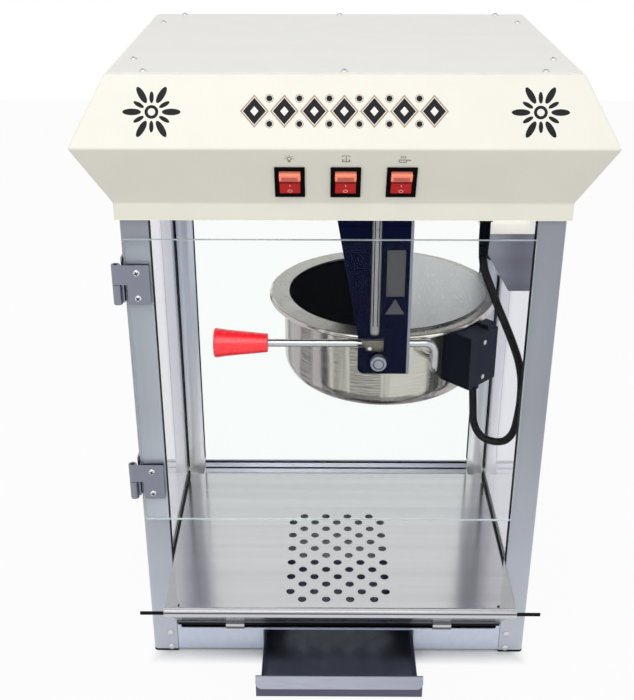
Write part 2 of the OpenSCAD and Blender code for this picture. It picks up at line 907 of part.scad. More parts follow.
// A hanger plate with its top flange, its front face at y = 0
module hanger(flange_dir, bore_d) {
    difference() {
        union() {
            translate([0, hanger_t, 0]) rotate([90, 0, 0])
                linear_extrude(hanger_t) hanger_outline(lobe_round_r);
            box([0, min(0, flange_dir * hanger_flange), ceiling_z - hanger_t],
                [hanger_right, max(hanger_t, flange_dir * hanger_flange), ceiling_z]);
            box([hanger_right - hanger_t, flange_dir > 0 ? 0 : hanger_t - hanger_return,
                    hanger_low],
                [hanger_right, flange_dir > 0 ? hanger_return : hanger_t, ceiling_z]);
        }
        bar_y(pivot_x, pivot_z, bore_d, -1, hanger_t + 1);
    }
}

module hanger_front() color(navy_c) set_back() {
    y0 = hanger_front_y - 1;
    y1 = hanger_front_y + hanger_t + 1;
    difference() {
        translate([0, hanger_front_y, 0]) hanger(1, pivot_pin_d + 2 * run_gap);
        box([hanger_left_low - 2, y0, pivot_z + notch_step],
            [pivot_x + notch_right, y1, pivot_z + notch_high]);
        box([hanger_left_low + notch_in, y0, pivot_z + notch_low],
            [pivot_x + notch_right, y1, pivot_z + notch_high]);
    }
}

module hanger_rear() color(navy_c) set_back() {
    translate([0, hanger_rear_y, 0]) hanger(-1, trunnion_d + 2 * run_gap);
}

// The rib and the two blank plates on the front hanger
module hanger_trim() color(steel_c) set_back() {
    rib_x = pivot_x - rib_off;
    rib_low = pivot_z + rib_rise;
    difference() {
        union() {
            bar_z(rib_x, hanger_front_y, rib_w, rib_low + rib_w / 2, ceiling_z - 0.3);
            translate([rib_x, hanger_front_y, rib_low + rib_w / 2]) sphere(d = rib_w);
        }
        box([rib_x - rib_w, hanger_front_y, rib_low - 1],
            [rib_x + rib_w, hanger_front_y + rib_w, ceiling_z + 1]);
    }
    plate_x = pivot_x + blank_off;
    box([plate_x - blank_half, hanger_front_y - blank_t, pivot_z + blank_zs[0]],
        [plate_x + blank_half, hanger_front_y, pivot_z + blank_zs[1]]);
    translate([0, hanger_front_y, 0]) rotate([90, 0, 0]) linear_extrude(blank_t)
        polygon([[plate_x - mark_half, pivot_z + mark_zs[0]],
            [plate_x + mark_half, pivot_z + mark_zs[0]], [plate_x, pivot_z + mark_zs[1]]]);
}

module hanger_gear_case() color(steel_c) set_back() {
    y0 = hanger_rear_y + hanger_t + seat_gap;
    inner_y0 = drive_y - bevel_r - 1;
    y1 = drive_y + bevel_r + 2;
    difference() {
        box([pivot_x - 17, y0, pivot_z - 17], [pivot_x + 17, y1, pivot_z + 20]);
        box([pivot_x - 14, inner_y0, pivot_z - 14], [pivot_x + 14, y1 - 1.5, pivot_z + 15]);
        bar_z(pivot_x, drive_y, shaft_d + 2 * run_gap, pivot_z + 10, pivot_z + 21);
        bar_y(pivot_x, pivot_z, shaft_d + 2 * run_gap, y0 - 1, inner_y0 + 1);
    }
}

module lamp_shade() color(steel_c) set_back() {
    y1 = shade_y + shade_deep;
    translate([0, shade_y + sheet_t, 0]) rotate([90, 0, 0]) linear_extrude(sheet_t)
        polygon([[shade_x0, shade_top], [shade_x1, shade_top], [shade_x1, shade_low],
            [shade_x1 - 27, shade_low], [shade_x0, shade_top - 13]]);
    box([shade_x0, shade_y, shade_top - sheet_t], [shade_x1, y1, shade_top]);
    box([shade_x0, y1 - sheet_t, shade_top - sheet_t], [shade_x1, y1, ceiling_z]);
}

module lamp_holder() color(black_c) set_back() {
    bar_z(lamp_x, lamp_y, 30, holder_low, shade_top - sheet_t);
}

module lamp_bulb() color([1, 0.95, 0.8]) set_back() {
    translate([lamp_x + 7, lamp_y, holder_low - 13]) sphere(r = 11);
    bar_z(lamp_x + 7, lamp_y, 12, holder_low - 10, holder_low);
}

// ---------- Kettle supply ----------

module outlet_socket() color(black_c) set_back() {
    bar_z(plug_place[0], plug_place[1], 26, socket_z + 6, ceiling_z);
    bar_z(plug_place[0], plug_place[1], 18, socket_z, socket_z + 6.1);
}

module kettle_plug() color(black_c) set_back() {
    translate(plug_place) {
        cylinder(h = plug_taper, d1 = cord_d + 0.5, d2 = cord_d + 3);
        translate([0, 0, plug_taper - 0.1])
            cylinder(h = plug_len - plug_taper + 0.1, d = cord_d + 3);
    }
}

function unit(v) = v / norm(v);

// Direction of the route at point i
function route_dir(p, i) =
    i == 0 ? [0, 0, -1] :
    i == len(p) - 1 ? [0, 0, 1] : unit(p[i + 1] - p[i - 1]);

// A round tube along the route's points, with flat ends
module tube_along(p, d, sides) {
    n = len(p);
    pts = [for (i = [0 : n - 1], k = [0 : sides - 1])
        let (t = route_dir(p, i), u = unit(cross(t, [0, 1, 0])), v = cross(t, u),
            a = 360 * k / sides)
        p[i] + d / 2 * (cos(a) * u + sin(a) * v)];
    skin = [for (i = [0 : n - 2], k = [0 : sides - 1])
        let (m = (k + 1) % sides)
        [i * sides + k, i * sides + m, (i + 1) * sides + m, (i + 1) * sides + k]];
    start = [[for (k = [sides - 1 : -1 : 0]) k]];
    end = [[for (k = [0 : sides - 1]) (n - 1) * sides + k]];
    polyhedron(points = pts, faces = concat(start, skin, end));
}

module kettle_cord() color(black_c) set_back() {
    tube_along(cord_points, cord_d, 12);
}

// ---------- Door ----------

module door_glass() color(glass_c) set_back() {
    difference() {
        box([-door_left, door_front_y, door_bottom],
            [half_w - post_size, door_back_y, door_top]);
        for (z0 = hinge_zs, dz = leaf_screw_zs)
            bar_y(leaf_screw_x, z0 + dz, screw_d + 2 * run_gap, door_front_y - 1, door_back_y + 1);
    }
}

module hinge_door_leaves() color(steel_c) set_back() {
    for (z0 = hinge_zs) {
        mid = z0 + leaf_h / 2;
        difference() {
            union() {
                box([leaf_right - leaf_w, door_front_y - leaf_t, z0],
                    [leaf_right, door_front_y, z0 + leaf_h]);
                box([hinge_x, door_front_y - leaf_t, mid + pass_gap],
                    [leaf_right, door_front_y, z0 + leaf_h]);
                bar_z(hinge_x, hinge_y, barrel_d, mid + pass_gap, z0 + leaf_h);
            }
            bar_z(hinge_x, hinge_y, hinge_pin_d + 2 * run_gap, mid - 1, z0 + leaf_h + 1);
            for (dz = leaf_screw_zs)
                bar_y(leaf_screw_x, z0 + dz, screw_d + 2 * run_gap, door_front_y - leaf_t - 1, 0);
        }
        difference() {
            box([leaf_right - leaf_w, door_back_y, z0],
                [leaf_right, door_back_y + back_leaf_t, z0 + leaf_h]);
            for (dz = leaf_screw_zs)
                bar_y(leaf_screw_x, z0 + dz, screw_d + 2 * run_gap, door_back_y - 1, 1);
        }
    }
}

module hinge_screws() color(steel_c) set_back() {
    for (z0 = hinge_zs, dz = leaf_screw_zs)
        translate([leaf_screw_x, door_front_y - leaf_t, z0 + dz]) rotate([90, 0, 0])
            screw(leaf_t + glass_t + back_leaf_t);
}

module hinge_cabinet_leaves() color(steel_c) set_back() {
    side_x = -half_w - run_gap;
    for (z0 = hinge_zs) {
        mid = z0 + leaf_h / 2;
        difference() {
            union() {
                bar_z(hinge_x, hinge_y, barrel_d, z0, mid);
                box([hinge_x, hinge_y + barrel_d / 2 - leaf_t, z0],
                    [side_x, hinge_y + barrel_d / 2, mid]);
                box([side_x - leaf_t, hinge_y + barrel_d / 2 - leaf_t, z0],
                    [side_x, side_leaf_end, mid]);
                box([side_x - leaf_t, hinge_y + barrel_d / 2 + pass_gap, z0],
                    [side_x, side_leaf_end, z0 + leaf_h + 6]);
            }
            bar_z(hinge_x, hinge_y, hinge_pin_d + 2 * run_gap, z0 - 1, mid + 1);
            for (dz = leaf_screw_zs)
                bar_x(leaf_screw_y, z0 + dz, screw_d + 2 * run_gap, side_x - 5, side_x + 1);
        }
    }
}

module hinge_pins() color(steel_c) set_back() {
    for (z0 = hinge_zs)
        bar_z(hinge_x, hinge_y, hinge_pin_d, z0, z0 + leaf_h - 3);
}

// ---------- Kettle ----------

module at_kettle() {
    translate([kettle_x, kettle_y, 0]) children();
}

// The space that the rear pivot tube takes through the kettle's walls
module trunnion_way() {
    bar_y(pivot_x, pivot_z, trunnion_d + 2 * seat_gap, kettle_y, hanger_rear_y);
}

// Outline of a pot from its floor to its open top
module pot_outline(r, z0, z1, round_r) {
    translate([0, z0]) square([r - round_r, z1 - z0]);
    translate([0, z0 + round_r]) square([r, z1 - z0 - round_r]);
    translate([r - round_r, z0 + round_r]) circle(round_r);
}

module pot(r, z0, z1, round_r, t) {
    rotate_extrude($fn = 128) intersection() {
        difference() {
            pot_outline(r, z0, z1, round_r);
            pot_outline(r - t, z0 + t, z1 + 1, round_r - t);
        }
        translate([0, z0 - 1]) square([r + 1, z1 - z0 + 2]);
    }
}

module kettle_shell() color(steel_c) set_back() {
    difference() {
        at_kettle() pot(shell_r, base_z, wall_top, foot_round_r, sheet_t);
        trunnion_way();
    }
}

module kettle_bowl() color([0.12, 0.12, 0.13]) set_back() {
    difference() {
        at_kettle() pot(bowl_r + bowl_t, bowl_floor_z - bowl_t, wall_top, bowl_round_r, bowl_t);
        trunnion_way();
    }
}

module kettle_rim() color(steel_c) set_back() {
    at_kettle() rotate_extrude($fn = 128) {
        translate([bowl_r - 0.2, rim_z - rim_t])
            square([rim_r - rim_roll_r - bowl_r + 0.2, rim_t]);
        translate([rim_r - rim_roll_r, rim_z - rim_roll_r]) circle(rim_roll_r);
    }
}

module heater_plate() color(alu_c) set_back() {
    at_kettle() translate([0, 0, bowl_floor_z - bowl_t - heater_h])
        cylinder(h = heater_h, r = heater_r, $fn = 96);
}

// Half of a lid's disc, lying from z0 to z1 on the right of the hinge line
module half_disc(r, z0, z1) {
    intersection() {
        translate([0, 0, z0]) cylinder(h = z1 - z0, r = r, $fn = 128);
        box([1, -r - 1, z0 - 1], [r + 1, r + 1, z1 + 1]);
    }
}

// Stretches of the hinge line; grow > 0 gives the room around them
module lid_knuckles(d, grow) {
    for (y = knuckle_ys)
        bar_y(0, lid_axis_z, d, y - knuckle_len / 2 - grow, y + knuckle_len / 2 + grow);
}

module lid_fixed() color(steel_c) set_back() {
    at_kettle() {
        difference() {
            union() {
                half_disc(lid_r, rim_z, rim_z + lid_t);
                bar_y(0, lid_axis_z, 2 * knuckle_r, -hinge_half, hinge_half);
            }
            lid_knuckles(2 * knuckle_r + 2 * pass_gap, pass_gap);
        }
        bar_y(0, lid_axis_z, lid_pin_d, -hinge_half, hinge_half);
    }
}

module lid_flap() color(steel_c) set_back() {
    flap_low = lid_axis_z + 0.15;
    at_kettle() difference() {
        union() {
            difference() {
                half_disc(lid_r - 1, flap_low, flap_low + lid_t);
                bar_y(0, lid_axis_z, 2 * knuckle_r + 2 * pass_gap,
                    -hinge_half - pass_gap, hinge_half + pass_gap);
            }
            lid_knuckles(2 * knuckle_r, 0);
            for (y = knuckle_ys)
                box([0, y - knuckle_len / 2, flap_low],
                    [knuckle_r + 2, y + knuckle_len / 2, flap_low + lid_t]);
        }
        bar_y(0, lid_axis_z, lid_pin_d + 2 * run_gap, -hinge_half, hinge_half);
    }
}

// The room of the kettle's shell, for what is fitted against it
module shell_room() {
    at_kettle() translate([0, 0, base_z]) cylinder(h = kettle_h, r = shell_r + 0.05, $fn = 128);
}

module pivot_blocks() color(steel_c) set_back() {
    front = hanger_front_y + hanger_t + block_play;
    difference() {
        union() {
            box([block_left, front, block_low], [block_right, kettle_y - block_in, block_high]);
            box([block_left, front, block_low],
                [block_right, kettle_y - rim_r - 0.5, rod_z + rod_clear]);
        }
        shell_room();
        bar_y(pivot_x, pivot_z, pivot_pin_d + 2 * run_gap, 0, kettle_y);
        bar_x(rod_y, rod_z, rod_d + 2 * run_gap, block_left - 1, block_right + 1);
    }
    difference() {
        box([block_left, kettle_y + block_in, block_low],
            [block_right, hanger_rear_y - block_play, block_high]);
        shell_room();
        bar_y(pivot_x, pivot_z, trunnion_d + 2 * run_gap, kettle_y, hanger_rear_y);
    }
}

module pivot_knob() color(alu_c) set_back() {
    bar_y(pivot_x, pivot_z, knob_d, hanger_front_y - 10, hanger_front_y - pass_gap);
    bar_y(pivot_x, pivot_z, pivot_pin_d, hanger_front_y - 5, kettle_y - shell_r);
}

module kettle_gear_case() color(steel_c) set_back() {
    low = [pivot_x - worm_r - 1.5, kettle_y - 13, pivot_z - 9];
    high = [kettle_x + worm_wheel_r + 1.5, kettle_y + 13, pivot_z + 9];
    wall = [case_wall, case_wall, case_wall];
    difference() {
        union() {
            box(low - wall, high + wall);
            bar_y(pivot_x, pivot_z, trunnion_d, high[1], hanger_rear_y + hanger_t);
        }
        box(low, high);
        bar_y(pivot_x, pivot_z, shaft_d + 2 * run_gap, high[1] - 1, hanger_rear_y + hanger_t + 1);
        bar_z(kettle_x, kettle_y, stirrer_d + 2 * run_gap, low[2] - case_wall - 1, low[2] + 1);
    }
}

// A quarter bend of the rod in its own plane: from +X travel to -Y travel
module rod_bend(r) {
    rotate_extrude(angle = 90) translate([r, 0]) circle(d = rod_d);
}

module handle_rod() color(steel_c) set_back() {
    corner_z = rod_z - bend_r;
    foot_z = corner_z - drop_len;
    difference() {
        union() {
            bar_x(rod_y, rod_z, rod_d, grip_socket - grip_end_x, rod_bend_x - bend_r);
            translate([rod_bend_x - bend_r, rod_y, corner_z]) rotate([90, 0, 0]) rod_bend(bend_r);
            bar_z(rod_bend_x, rod_y, rod_d, foot_z + back_r, corner_z);
            translate([rod_bend_x, rod_y + back_r, foot_z + back_r])
                rotate([0, 90, 180]) rod_bend(back_r);
            bar_y(rod_bend_x, foot_z, rod_d, rod_y + back_r, kettle_y - shell_r / 2);
        }
        shell_room();
    }
}

module handle_grip() color(red_c) set_back() {
    translate([-grip_end_x, rod_y, rod_z]) rotate([0, 90, 0]) difference() {
        rotate_extrude() polygon([
            [0, 0], [grip_d_end / 2 - 2, 0], [grip_d_end / 2, 2],
            [grip_d_neck / 2, grip_len - 1], [grip_d_neck / 2 - 1, grip_len], [0, grip_len]]);
        translate([0, 0, grip_socket - run_gap])
            cylinder(h = grip_len, d = rod_d + 2 * run_gap);
    }
}

module connector_housing() color(black_c) set_back() {
    difference() {
        union() {
            at_kettle() rotate(housing_dir) {
                box([shell_r - 20, -housing_w / 2, housing_low],
                    [housing_reach, housing_w / 2, housing_top]);
                box([rim_r + lug_in, housing_w / 2 - lug_in - lug_w, housing_top - 1],
                    [housing_reach - lug_in, housing_w / 2 - lug_in, housing_top + lug_h]);
            }
            bar_z(gland[0], gland[1], cord_d + 5, gland[2], housing_low + 0.1);
        }
        shell_room();
    }
}

module housing_screws() color(steel_c) set_back() {
    at_kettle() rotate(housing_dir)
        for (z = [housing_low + 10, housing_top - 12])
            translate([housing_reach, 0, z]) rotate([0, 90, 0])
                cylinder(h = screw_head_h / 2, d = 6);
    bar_y(block_left + 9, pivot_z + 14, 4.6, hanger_front_y + hanger_t + 0.8,
        hanger_front_y + hanger_t + 2);
}

// ---------- Drive ----------

module drive_rod() color(steel_c) set_back() {
    top = ceiling_z + sheet_t + 18;
    bar_z(pivot_x, drive_y, shaft_d, pivot_z + bevel_r / 2, top);
    translate([pivot_x, drive_y, pivot_z + bevel_r / 2])
        cylinder(h = bevel_r / 2, r1 = bevel_r / 2 - pass_gap, r2 = bevel_r - pass_gap);
}

module cross_shaft() color(steel_c) set_back() {
    bar_y(pivot_x, pivot_z, shaft_d, kettle_y - 11, drive_y - bevel_r / 2);
    translate([pivot_x, drive_y - bevel_r, pivot_z]) rotate([-90, 0, 0])
        cylinder(h = bevel_r / 2, r1 = bevel_r - pass_gap, r2 = bevel_r / 2 - pass_gap);
    bar_y(pivot_x, pivot_z, 2 * worm_r, kettle_y - 10, kettle_y + 10);
}

module stirrer() color(steel_c) set_back() {
    arm_z = bowl_floor_z + 1;
    at_kettle() {
        bar_z(0, 0, stirrer_d, arm_z, pivot_z + 6);
        bar_z(0, 0, 2 * worm_wheel_r, pivot_z - 3, pivot_z + 3);
        rotate(stirrer_turn) {
            box([-stirrer_reach, -5, arm_z], [stirrer_reach, 5, arm_z + 5]);
            box([stirrer_reach - 4, -5, arm_z + 4], [stirrer_reach, 5, arm_z + 20]);
            box([-stirrer_reach, -5, arm_z + 4], [-stirrer_reach + 4, 5, arm_z + 20]);
        }
        bar_z(0, 0, 18, arm_z, arm_z + 14);
    }
}

// ---------- Drawer ----------

module drawer_tray() color([0.2, 0.21, 0.23]) set_back() {
    y0 = sheet_t - drawer_out;
    x = tray_w / 2;
    difference() {
        box([-x, y0, tray_bottom], [x, y0 + tray_len, tray_top]);
        box([tray_t - x, y0 + tray_t, tray_bottom + tray_t],
            [x - tray_t, y0 + tray_len - tray_t, tray_top + 1]);
    }
}

module drawer_front() color(zinc_c) set_back() {
    x = tray_w / 2 + front_overhang;
    corner = finger_lip / 2;
    box([-x, -drawer_out, 1], [x, sheet_t - drawer_out, opening_top]);
    translate([0, -drawer_out + 0.5, opening_top]) rotate([45, 0, 0])
        translate([0, 0, -sheet_t]) linear_extrude(sheet_t) {
            translate([-x, corner - finger_lip]) square([2 * x, finger_lip - corner]);
            translate([corner - x, -finger_lip]) square([2 * x - 2 * corner, finger_lip]);
            for (side = [-1, 1])
                translate([side * (x - corner), corner - finger_lip]) circle(corner);
        }
}

// ---------- Pieces ----------

base_front_panel();
base_panels();
rubber_feet();
drawer_runners();
deck_plate();
apron();
apron_edge_strip();
post_front_left();
post_front_right();
post_back_left();
post_back_right();
post_screws();
side_glass_left();
side_glass_right();
back_glass();
glass_gaskets();
back_sill();
canopy_shell();
canopy_cover();
cover_screws();
canopy_floor();
switch_bezels();
gear_motor();
hanger_front();
hanger_rear();
hanger_trim();
hanger_gear_case();
lamp_shade();
lamp_holder();
lamp_bulb();
outlet_socket();
kettle_plug();
kettle_cord();
mains_inlet();
hinge_cabinet_leaves();
hinge_pins();
door_glass();
hinge_door_leaves();
hinge_screws();
kettle_shell();
kettle_bowl();
kettle_rim();
heater_plate();
lid_fixed();
pivot_blocks();
pivot_knob();
kettle_gear_case();
handle_rod();
handle_grip();
connector_housing();
housing_screws();
lid_flap();
drive_rod();
cross_shaft();
stirrer();
drawer_tray();
drawer_front();
rocker_light();
rocker_stir();
rocker_heat();
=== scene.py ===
import json
from math import atan2, cos, pi, radians, sin

import bmesh
import bpy
from bpy.props import FloatProperty, FloatVectorProperty, IntProperty, PointerProperty
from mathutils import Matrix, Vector

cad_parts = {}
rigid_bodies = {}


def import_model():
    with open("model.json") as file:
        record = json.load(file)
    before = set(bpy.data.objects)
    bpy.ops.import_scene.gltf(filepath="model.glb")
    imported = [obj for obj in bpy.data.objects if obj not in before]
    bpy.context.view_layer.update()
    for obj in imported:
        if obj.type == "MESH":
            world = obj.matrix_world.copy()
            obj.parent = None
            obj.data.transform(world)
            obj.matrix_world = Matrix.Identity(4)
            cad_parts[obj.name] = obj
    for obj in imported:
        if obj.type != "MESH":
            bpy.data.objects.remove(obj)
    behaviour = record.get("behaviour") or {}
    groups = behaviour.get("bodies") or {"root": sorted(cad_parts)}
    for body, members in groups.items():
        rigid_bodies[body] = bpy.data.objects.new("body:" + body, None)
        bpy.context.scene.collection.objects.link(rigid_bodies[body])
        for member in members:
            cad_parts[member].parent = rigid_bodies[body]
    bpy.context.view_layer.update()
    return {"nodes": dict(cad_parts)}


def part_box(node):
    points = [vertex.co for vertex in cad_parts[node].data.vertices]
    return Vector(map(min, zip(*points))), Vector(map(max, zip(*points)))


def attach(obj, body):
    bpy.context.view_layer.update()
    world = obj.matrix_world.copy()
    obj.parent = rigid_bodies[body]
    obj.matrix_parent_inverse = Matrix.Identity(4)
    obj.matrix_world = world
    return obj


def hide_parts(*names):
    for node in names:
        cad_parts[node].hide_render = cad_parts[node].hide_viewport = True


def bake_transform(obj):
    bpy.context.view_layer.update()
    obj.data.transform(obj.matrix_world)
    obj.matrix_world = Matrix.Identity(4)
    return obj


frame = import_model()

bl_info = {
    "name": "Popcorn maker",
    "version": (1, 0, 0),
    "blender": (4, 5, 0),
    "location": "3D View > Sidebar > Popcorn maker",
    "description": "Dresses the popcorn maker's frame with its finished pieces",
    "category": "Object",
}

# The post's front faces, from which places along Y are measured, in metres
FRONT_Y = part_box("post_front_left")[0].y

# Where the rockers stand, across and down the undercut, and how far they are tilted
SWITCH_XS = (-56.0, 2.0, 60.0)
SWITCH_DROP = 43.0
ROCKER_TILT = radians(7)

# The canopy's folds: [distance in front of the posts, height], in millimetres
RIDGE = (36.0, 680.7)
ROOF = (0.0, 748.4)
BAND = (6.0, 614.0)


def at(x, y, z):
    """A place in metres, from millimetres with Y measured from the posts' front faces."""
    return Vector((x / 1000, y / 1000 + FRONT_Y, z / 1000))


def tone(red, green, blue):
    """A colour's linear values, from its 0 to 255 display values."""
    return tuple(share / 12.92 if share <= 0.04045 else ((share + 0.055) / 1.055) ** 2.4
                 for share in (red / 255, green / 255, blue / 255))


# ---------- Settings ----------


# How far the edges of sheet metal and of thinner plate are rounded, in metres
SHEET_EDGE = 0.0005
THIN_EDGE = 0.0003
WHITE = (1, 1, 1, 1)


def length(name, description, default):
    return FloatProperty(name=name, description=description, default=default, min=0, unit="LENGTH")


def colour(name, default):
    return FloatVectorProperty(name=name.capitalize(), description=f"Colour of the {name}",
                               default=tone(*default), subtype="COLOR", size=3, min=0, max=1)


class PopcornSizes(bpy.types.PropertyGroup):
    fold: length("Fold radius", "Outer radius of the sheet metal's folds", 0.0016)
    edge: length("Soft edge", "Rounding of moulded and machined edges", 0.0006)
    glass_edge: length("Glass edge", "Width of the ground edge of the panes", 0.0005)
    ink: length("Ink thickness", "Thickness of the printed ornaments", 0.00012)
    knurls: IntProperty(name="Knurls", description="Ridges round the pivot knob", default=36, min=12)
    plug_ribs: IntProperty(name="Plug ribs", description="Grip ribs along the plug", default=5, min=2)


class PopcornColours(bpy.types.PropertyGroup):
    paint: colour("canopy's powder coat", (249, 247, 235))
    roof: colour("cover's powder coat", (240, 239, 234))
    ink: colour("ornaments' dark ink", (30, 32, 36))
    outline: colour("ornaments' fine outline", (178, 150, 130))
    icon: colour("switch symbols' ink", (120, 122, 118))
    zinc: colour("galvanised skirt and runners", (214, 222, 240))
    # Painted light: the finger lip, which faces up, is paler than the front
    lip: colour("drawer's finger lip", (126, 129, 140))
    front: colour("drawer's front", (96, 95, 112))
    tray: colour("crumb tray", (142, 147, 162))
    steel: colour("deck, chute and lid", (204, 204, 206))
    post: colour("anodised corner posts", (163, 167, 177))
    hinge: colour("hinges", (142, 145, 158))
    shade: colour("lamp shade's face", (168, 169, 184))
    # The hangers' navy-black is a painted reflection of dark surroundings in mirror steel
    dark_reflection: colour("hangers' dark mirror finish", (9, 12, 34))
    blank: colour("blank plates on the hanger", (86, 85, 88))
    kettle: colour("kettle's wall", (206, 201, 193))
    rim: colour("rim's flat", (176, 173, 168))
    bowl: colour("coating inside the kettle", (7, 10, 20))
    cast: colour("cast pivot blocks", (118, 115, 106))
    grip: colour("moulded grip", (238, 26, 40))
    rocker: colour("translucent rockers", (206, 16, 26))
    # Painted light: the rockers' paler upper half
    rocker_painted_light: colour("rockers' upper half", (255, 156, 126))
    window: colour("lamp's window in the rockers", (226, 126, 114))
    seam: colour("dark line across the rockers", (104, 8, 14))
    mark: colour("pale marks on the rockers", (236, 190, 190))
    slate: colour("connector housing", (7, 11, 21))
    # Painted light: the housing's paler side
    slate_painted_light: colour("housing's paler side", (40, 43, 56))
    sill: colour("sill under the back pane", (204, 208, 217))
    black: colour("bezels, plug, inlet and strip", (9, 10, 12))
    rubber: colour("feet, gaskets and cord", (15, 15, 17))
    glass: colour("door and back pane", (253, 255, 254))
    # Painted shade: the side panes are a greyer copy of the clear glass
    side_glass: colour("side panes", (223, 221, 229))
    glass_edge: colour("bright edge of the panes", (204, 219, 220))


class PopcornStage(bpy.types.PropertyGroup):
    dome: FloatProperty(name="Dome", description="Strength of the studio dome", default=0.62, min=0)
    key: FloatProperty(name="Key", description="Power of the key light", default=35.5, min=0, unit="POWER")
    fill: FloatProperty(name="Fill", description="Power of the fill light", default=3, min=0, unit="POWER")
    floor: length("Floor", "Side of the floor", 6.0)


# ---------- Modelling helpers ----------


def rest():
    """Leaves edit mode and deselects everything."""
    if bpy.context.mode != "OBJECT":
        bpy.ops.object.mode_set(mode="OBJECT")
    bpy.ops.object.select_all(action="DESELECT")


def choose(piece):
    rest()
    piece.select_set(True)
    bpy.context.view_layer.objects.active = piece
    return piece


def edit(piece, mode="FACE", wanted=None):
    """Opens a piece in edit mode with all of it selected, or only the wanted faces, edges or points."""
    choose(piece)
    bpy.ops.object.mode_set(mode="EDIT")
    bpy.ops.mesh.select_mode(type=mode)
    bpy.ops.mesh.select_all(action="DESELECT" if wanted else "SELECT")
    if wanted:
        mesh = bmesh.from_edit_mesh(piece.data)
        count = 0
        for part in {"FACE": mesh.faces, "EDGE": mesh.edges, "VERT": mesh.verts}[mode]:
            if wanted(part):
                part.select_set(True)
                count += 1
        bmesh.update_edit_mesh(piece.data)
        if not count:
            raise RuntimeError(f"{piece.name}: nothing to shape")


def modified(piece, kind, **settings):
    """Adds a modifier and applies it."""
    choose(piece)
    bpy.ops.object.modifier_add(type=kind)
    modifier = piece.modifiers[-1]
    for name, value in settings.items():
        setattr(modifier, name, value)
    bpy.ops.object.modifier_apply(modifier=modifier.name)
    return piece


def placed(piece):
    """Writes the object's place into its mesh."""
    choose(piece)
    bpy.ops.object.transform_apply(location=True, rotation=True, scale=True)
    return piece


def named(piece, name):
    piece.name = piece.data.name = name
    return piece


def copied(node, name):
    """A working copy of a CAD node with its doubles merged and its flat faces whole."""
    choose(frame["nodes"][node])
    bpy.ops.object.duplicate()
    piece = bpy.context.active_object
    bpy.ops.object.parent_clear(type="CLEAR_KEEP_TRANSFORM")
    for key in list(piece.keys()):
        del piece[key]
    named(piece, name).data.materials.clear()
    edit(piece)
    bpy.ops.mesh.customdata_custom_splitnormals_clear()
    bpy.ops.mesh.remove_doubles(threshold=2e-6)
    bpy.ops.mesh.dissolve_limited(angle_limit=radians(0.3))
    rest()
    return piece


def softened(piece, width, segments=2, angle=35, clamp=False):
    """Rounds every edge sharper than the angle."""
    return modified(piece, "BEVEL", width=width, segments=segments, limit_method="ANGLE",
                    angle_limit=radians(angle), use_clamp_overlap=clamp, miter_outer="MITER_ARC")


def block(name, low, high):
    """A box between two corners in the frame's millimetres."""
    rest()
    first, last = at(*low), at(*high)
    bpy.ops.mesh.primitive_cube_add(size=1, location=(first + last) / 2, scale=last - first)
    return placed(named(bpy.context.active_object, name))


def turned(name, rings, segments=96):
    """A round body drawn up ring by ring along +Z, each ring a radius and a height in millimetres.
    A first or last radius of 0 closes the body in a pole."""
    rest()
    tiny = 1e-3
    rings = [(max(radius, tiny), height) for radius, height in rings]
    radius, height = rings[0]
    bpy.ops.mesh.primitive_circle_add(vertices=segments, radius=radius / 1000,
                                      location=(0, 0, height / 1000))
    piece = named(placed(bpy.context.active_object), name)
    edit(piece, "EDGE")
    for next_radius, next_height in rings[1:]:
        bpy.ops.mesh.extrude_edges_move(
            TRANSFORM_OT_translate={"value": (0, 0, (next_height - height) / 1000)})
        grow = next_radius / radius
        bpy.ops.transform.resize(value=(grow, grow, 1), center_override=(0, 0, 0))
        radius, height = next_radius, next_height
    edit(piece)
    bpy.ops.mesh.remove_doubles(threshold=5e-6)
    bpy.ops.mesh.normals_make_consistent(inside=False)
    rest()
    return piece


def arc(centre, radius, start, end, steps):
    """Points of an arc, as [radius, height] pairs for turned(), angles in degrees."""
    return [(centre[0] + radius * cos(radians(start + (end - start) * i / steps)),
             centre[1] + radius * sin(radians(start + (end - start) * i / steps)))
            for i in range(steps + 1)]


def joined(name, *parts):
    """Makes one mesh of the parts."""
    choose(parts[0])
    for part in parts[1:]:
        part.select_set(True)
    if len(parts) > 1:
        bpy.ops.object.join()
    return named(parts[0], name)


def moved(piece, place, turn=(0, 0, 0)):
    """Turns a piece made at the origin, and puts it in its place."""
    piece.rotation_euler = turn
    piece.location = place
    return placed(piece)


def copies(piece, name, spots):
    """The piece once at each spot, a place and a turn, joined into one mesh."""
    made = []
    for place, turn in spots:
        choose(piece)
        bpy.ops.object.duplicate()
        made.append(moved(bpy.context.active_object, place, turn))
    rest()
    bpy.data.objects.remove(piece)
    return joined(name, *made)


def painted(piece, finish):
    piece.data.materials.clear()
    piece.data.materials.append(FINISHES[finish])
    return piece


def second_finish(piece, finish, wanted):
    """Gives the wanted faces a second finish."""
    piece.data.materials.append(FINISHES[finish])
    for face in piece.data.polygons:
        if wanted(face):
            face.material_index = 1
    return piece


def finished(piece, body, slot, finish, *nodes, crease=34, weighted=True):
    """Smooths, paints and mounts a piece, in place of the CAD nodes that it stands for."""
    placed(piece)
    bpy.ops.object.shade_smooth_by_angle(angle=radians(crease))
    if weighted:
        modified(piece, "WEIGHTED_NORMAL", keep_sharp=True)
    if finish:
        painted(piece, finish)
    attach(piece, body)
    if nodes:
        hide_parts(*nodes)
    return piece


def dressed(node, name, slot, width=SHEET_EDGE, segments=2, angle=35, body="cabinet", finish=None,
            clamp=False, **how):
    """A CAD node's copy with soft edges, in the node's place. Its finish is the slot's own unless
    another is named."""
    piece = softened(copied(node, name), width, segments, angle, clamp)
    return finished(piece, body, slot, finish or slot, node, **how)


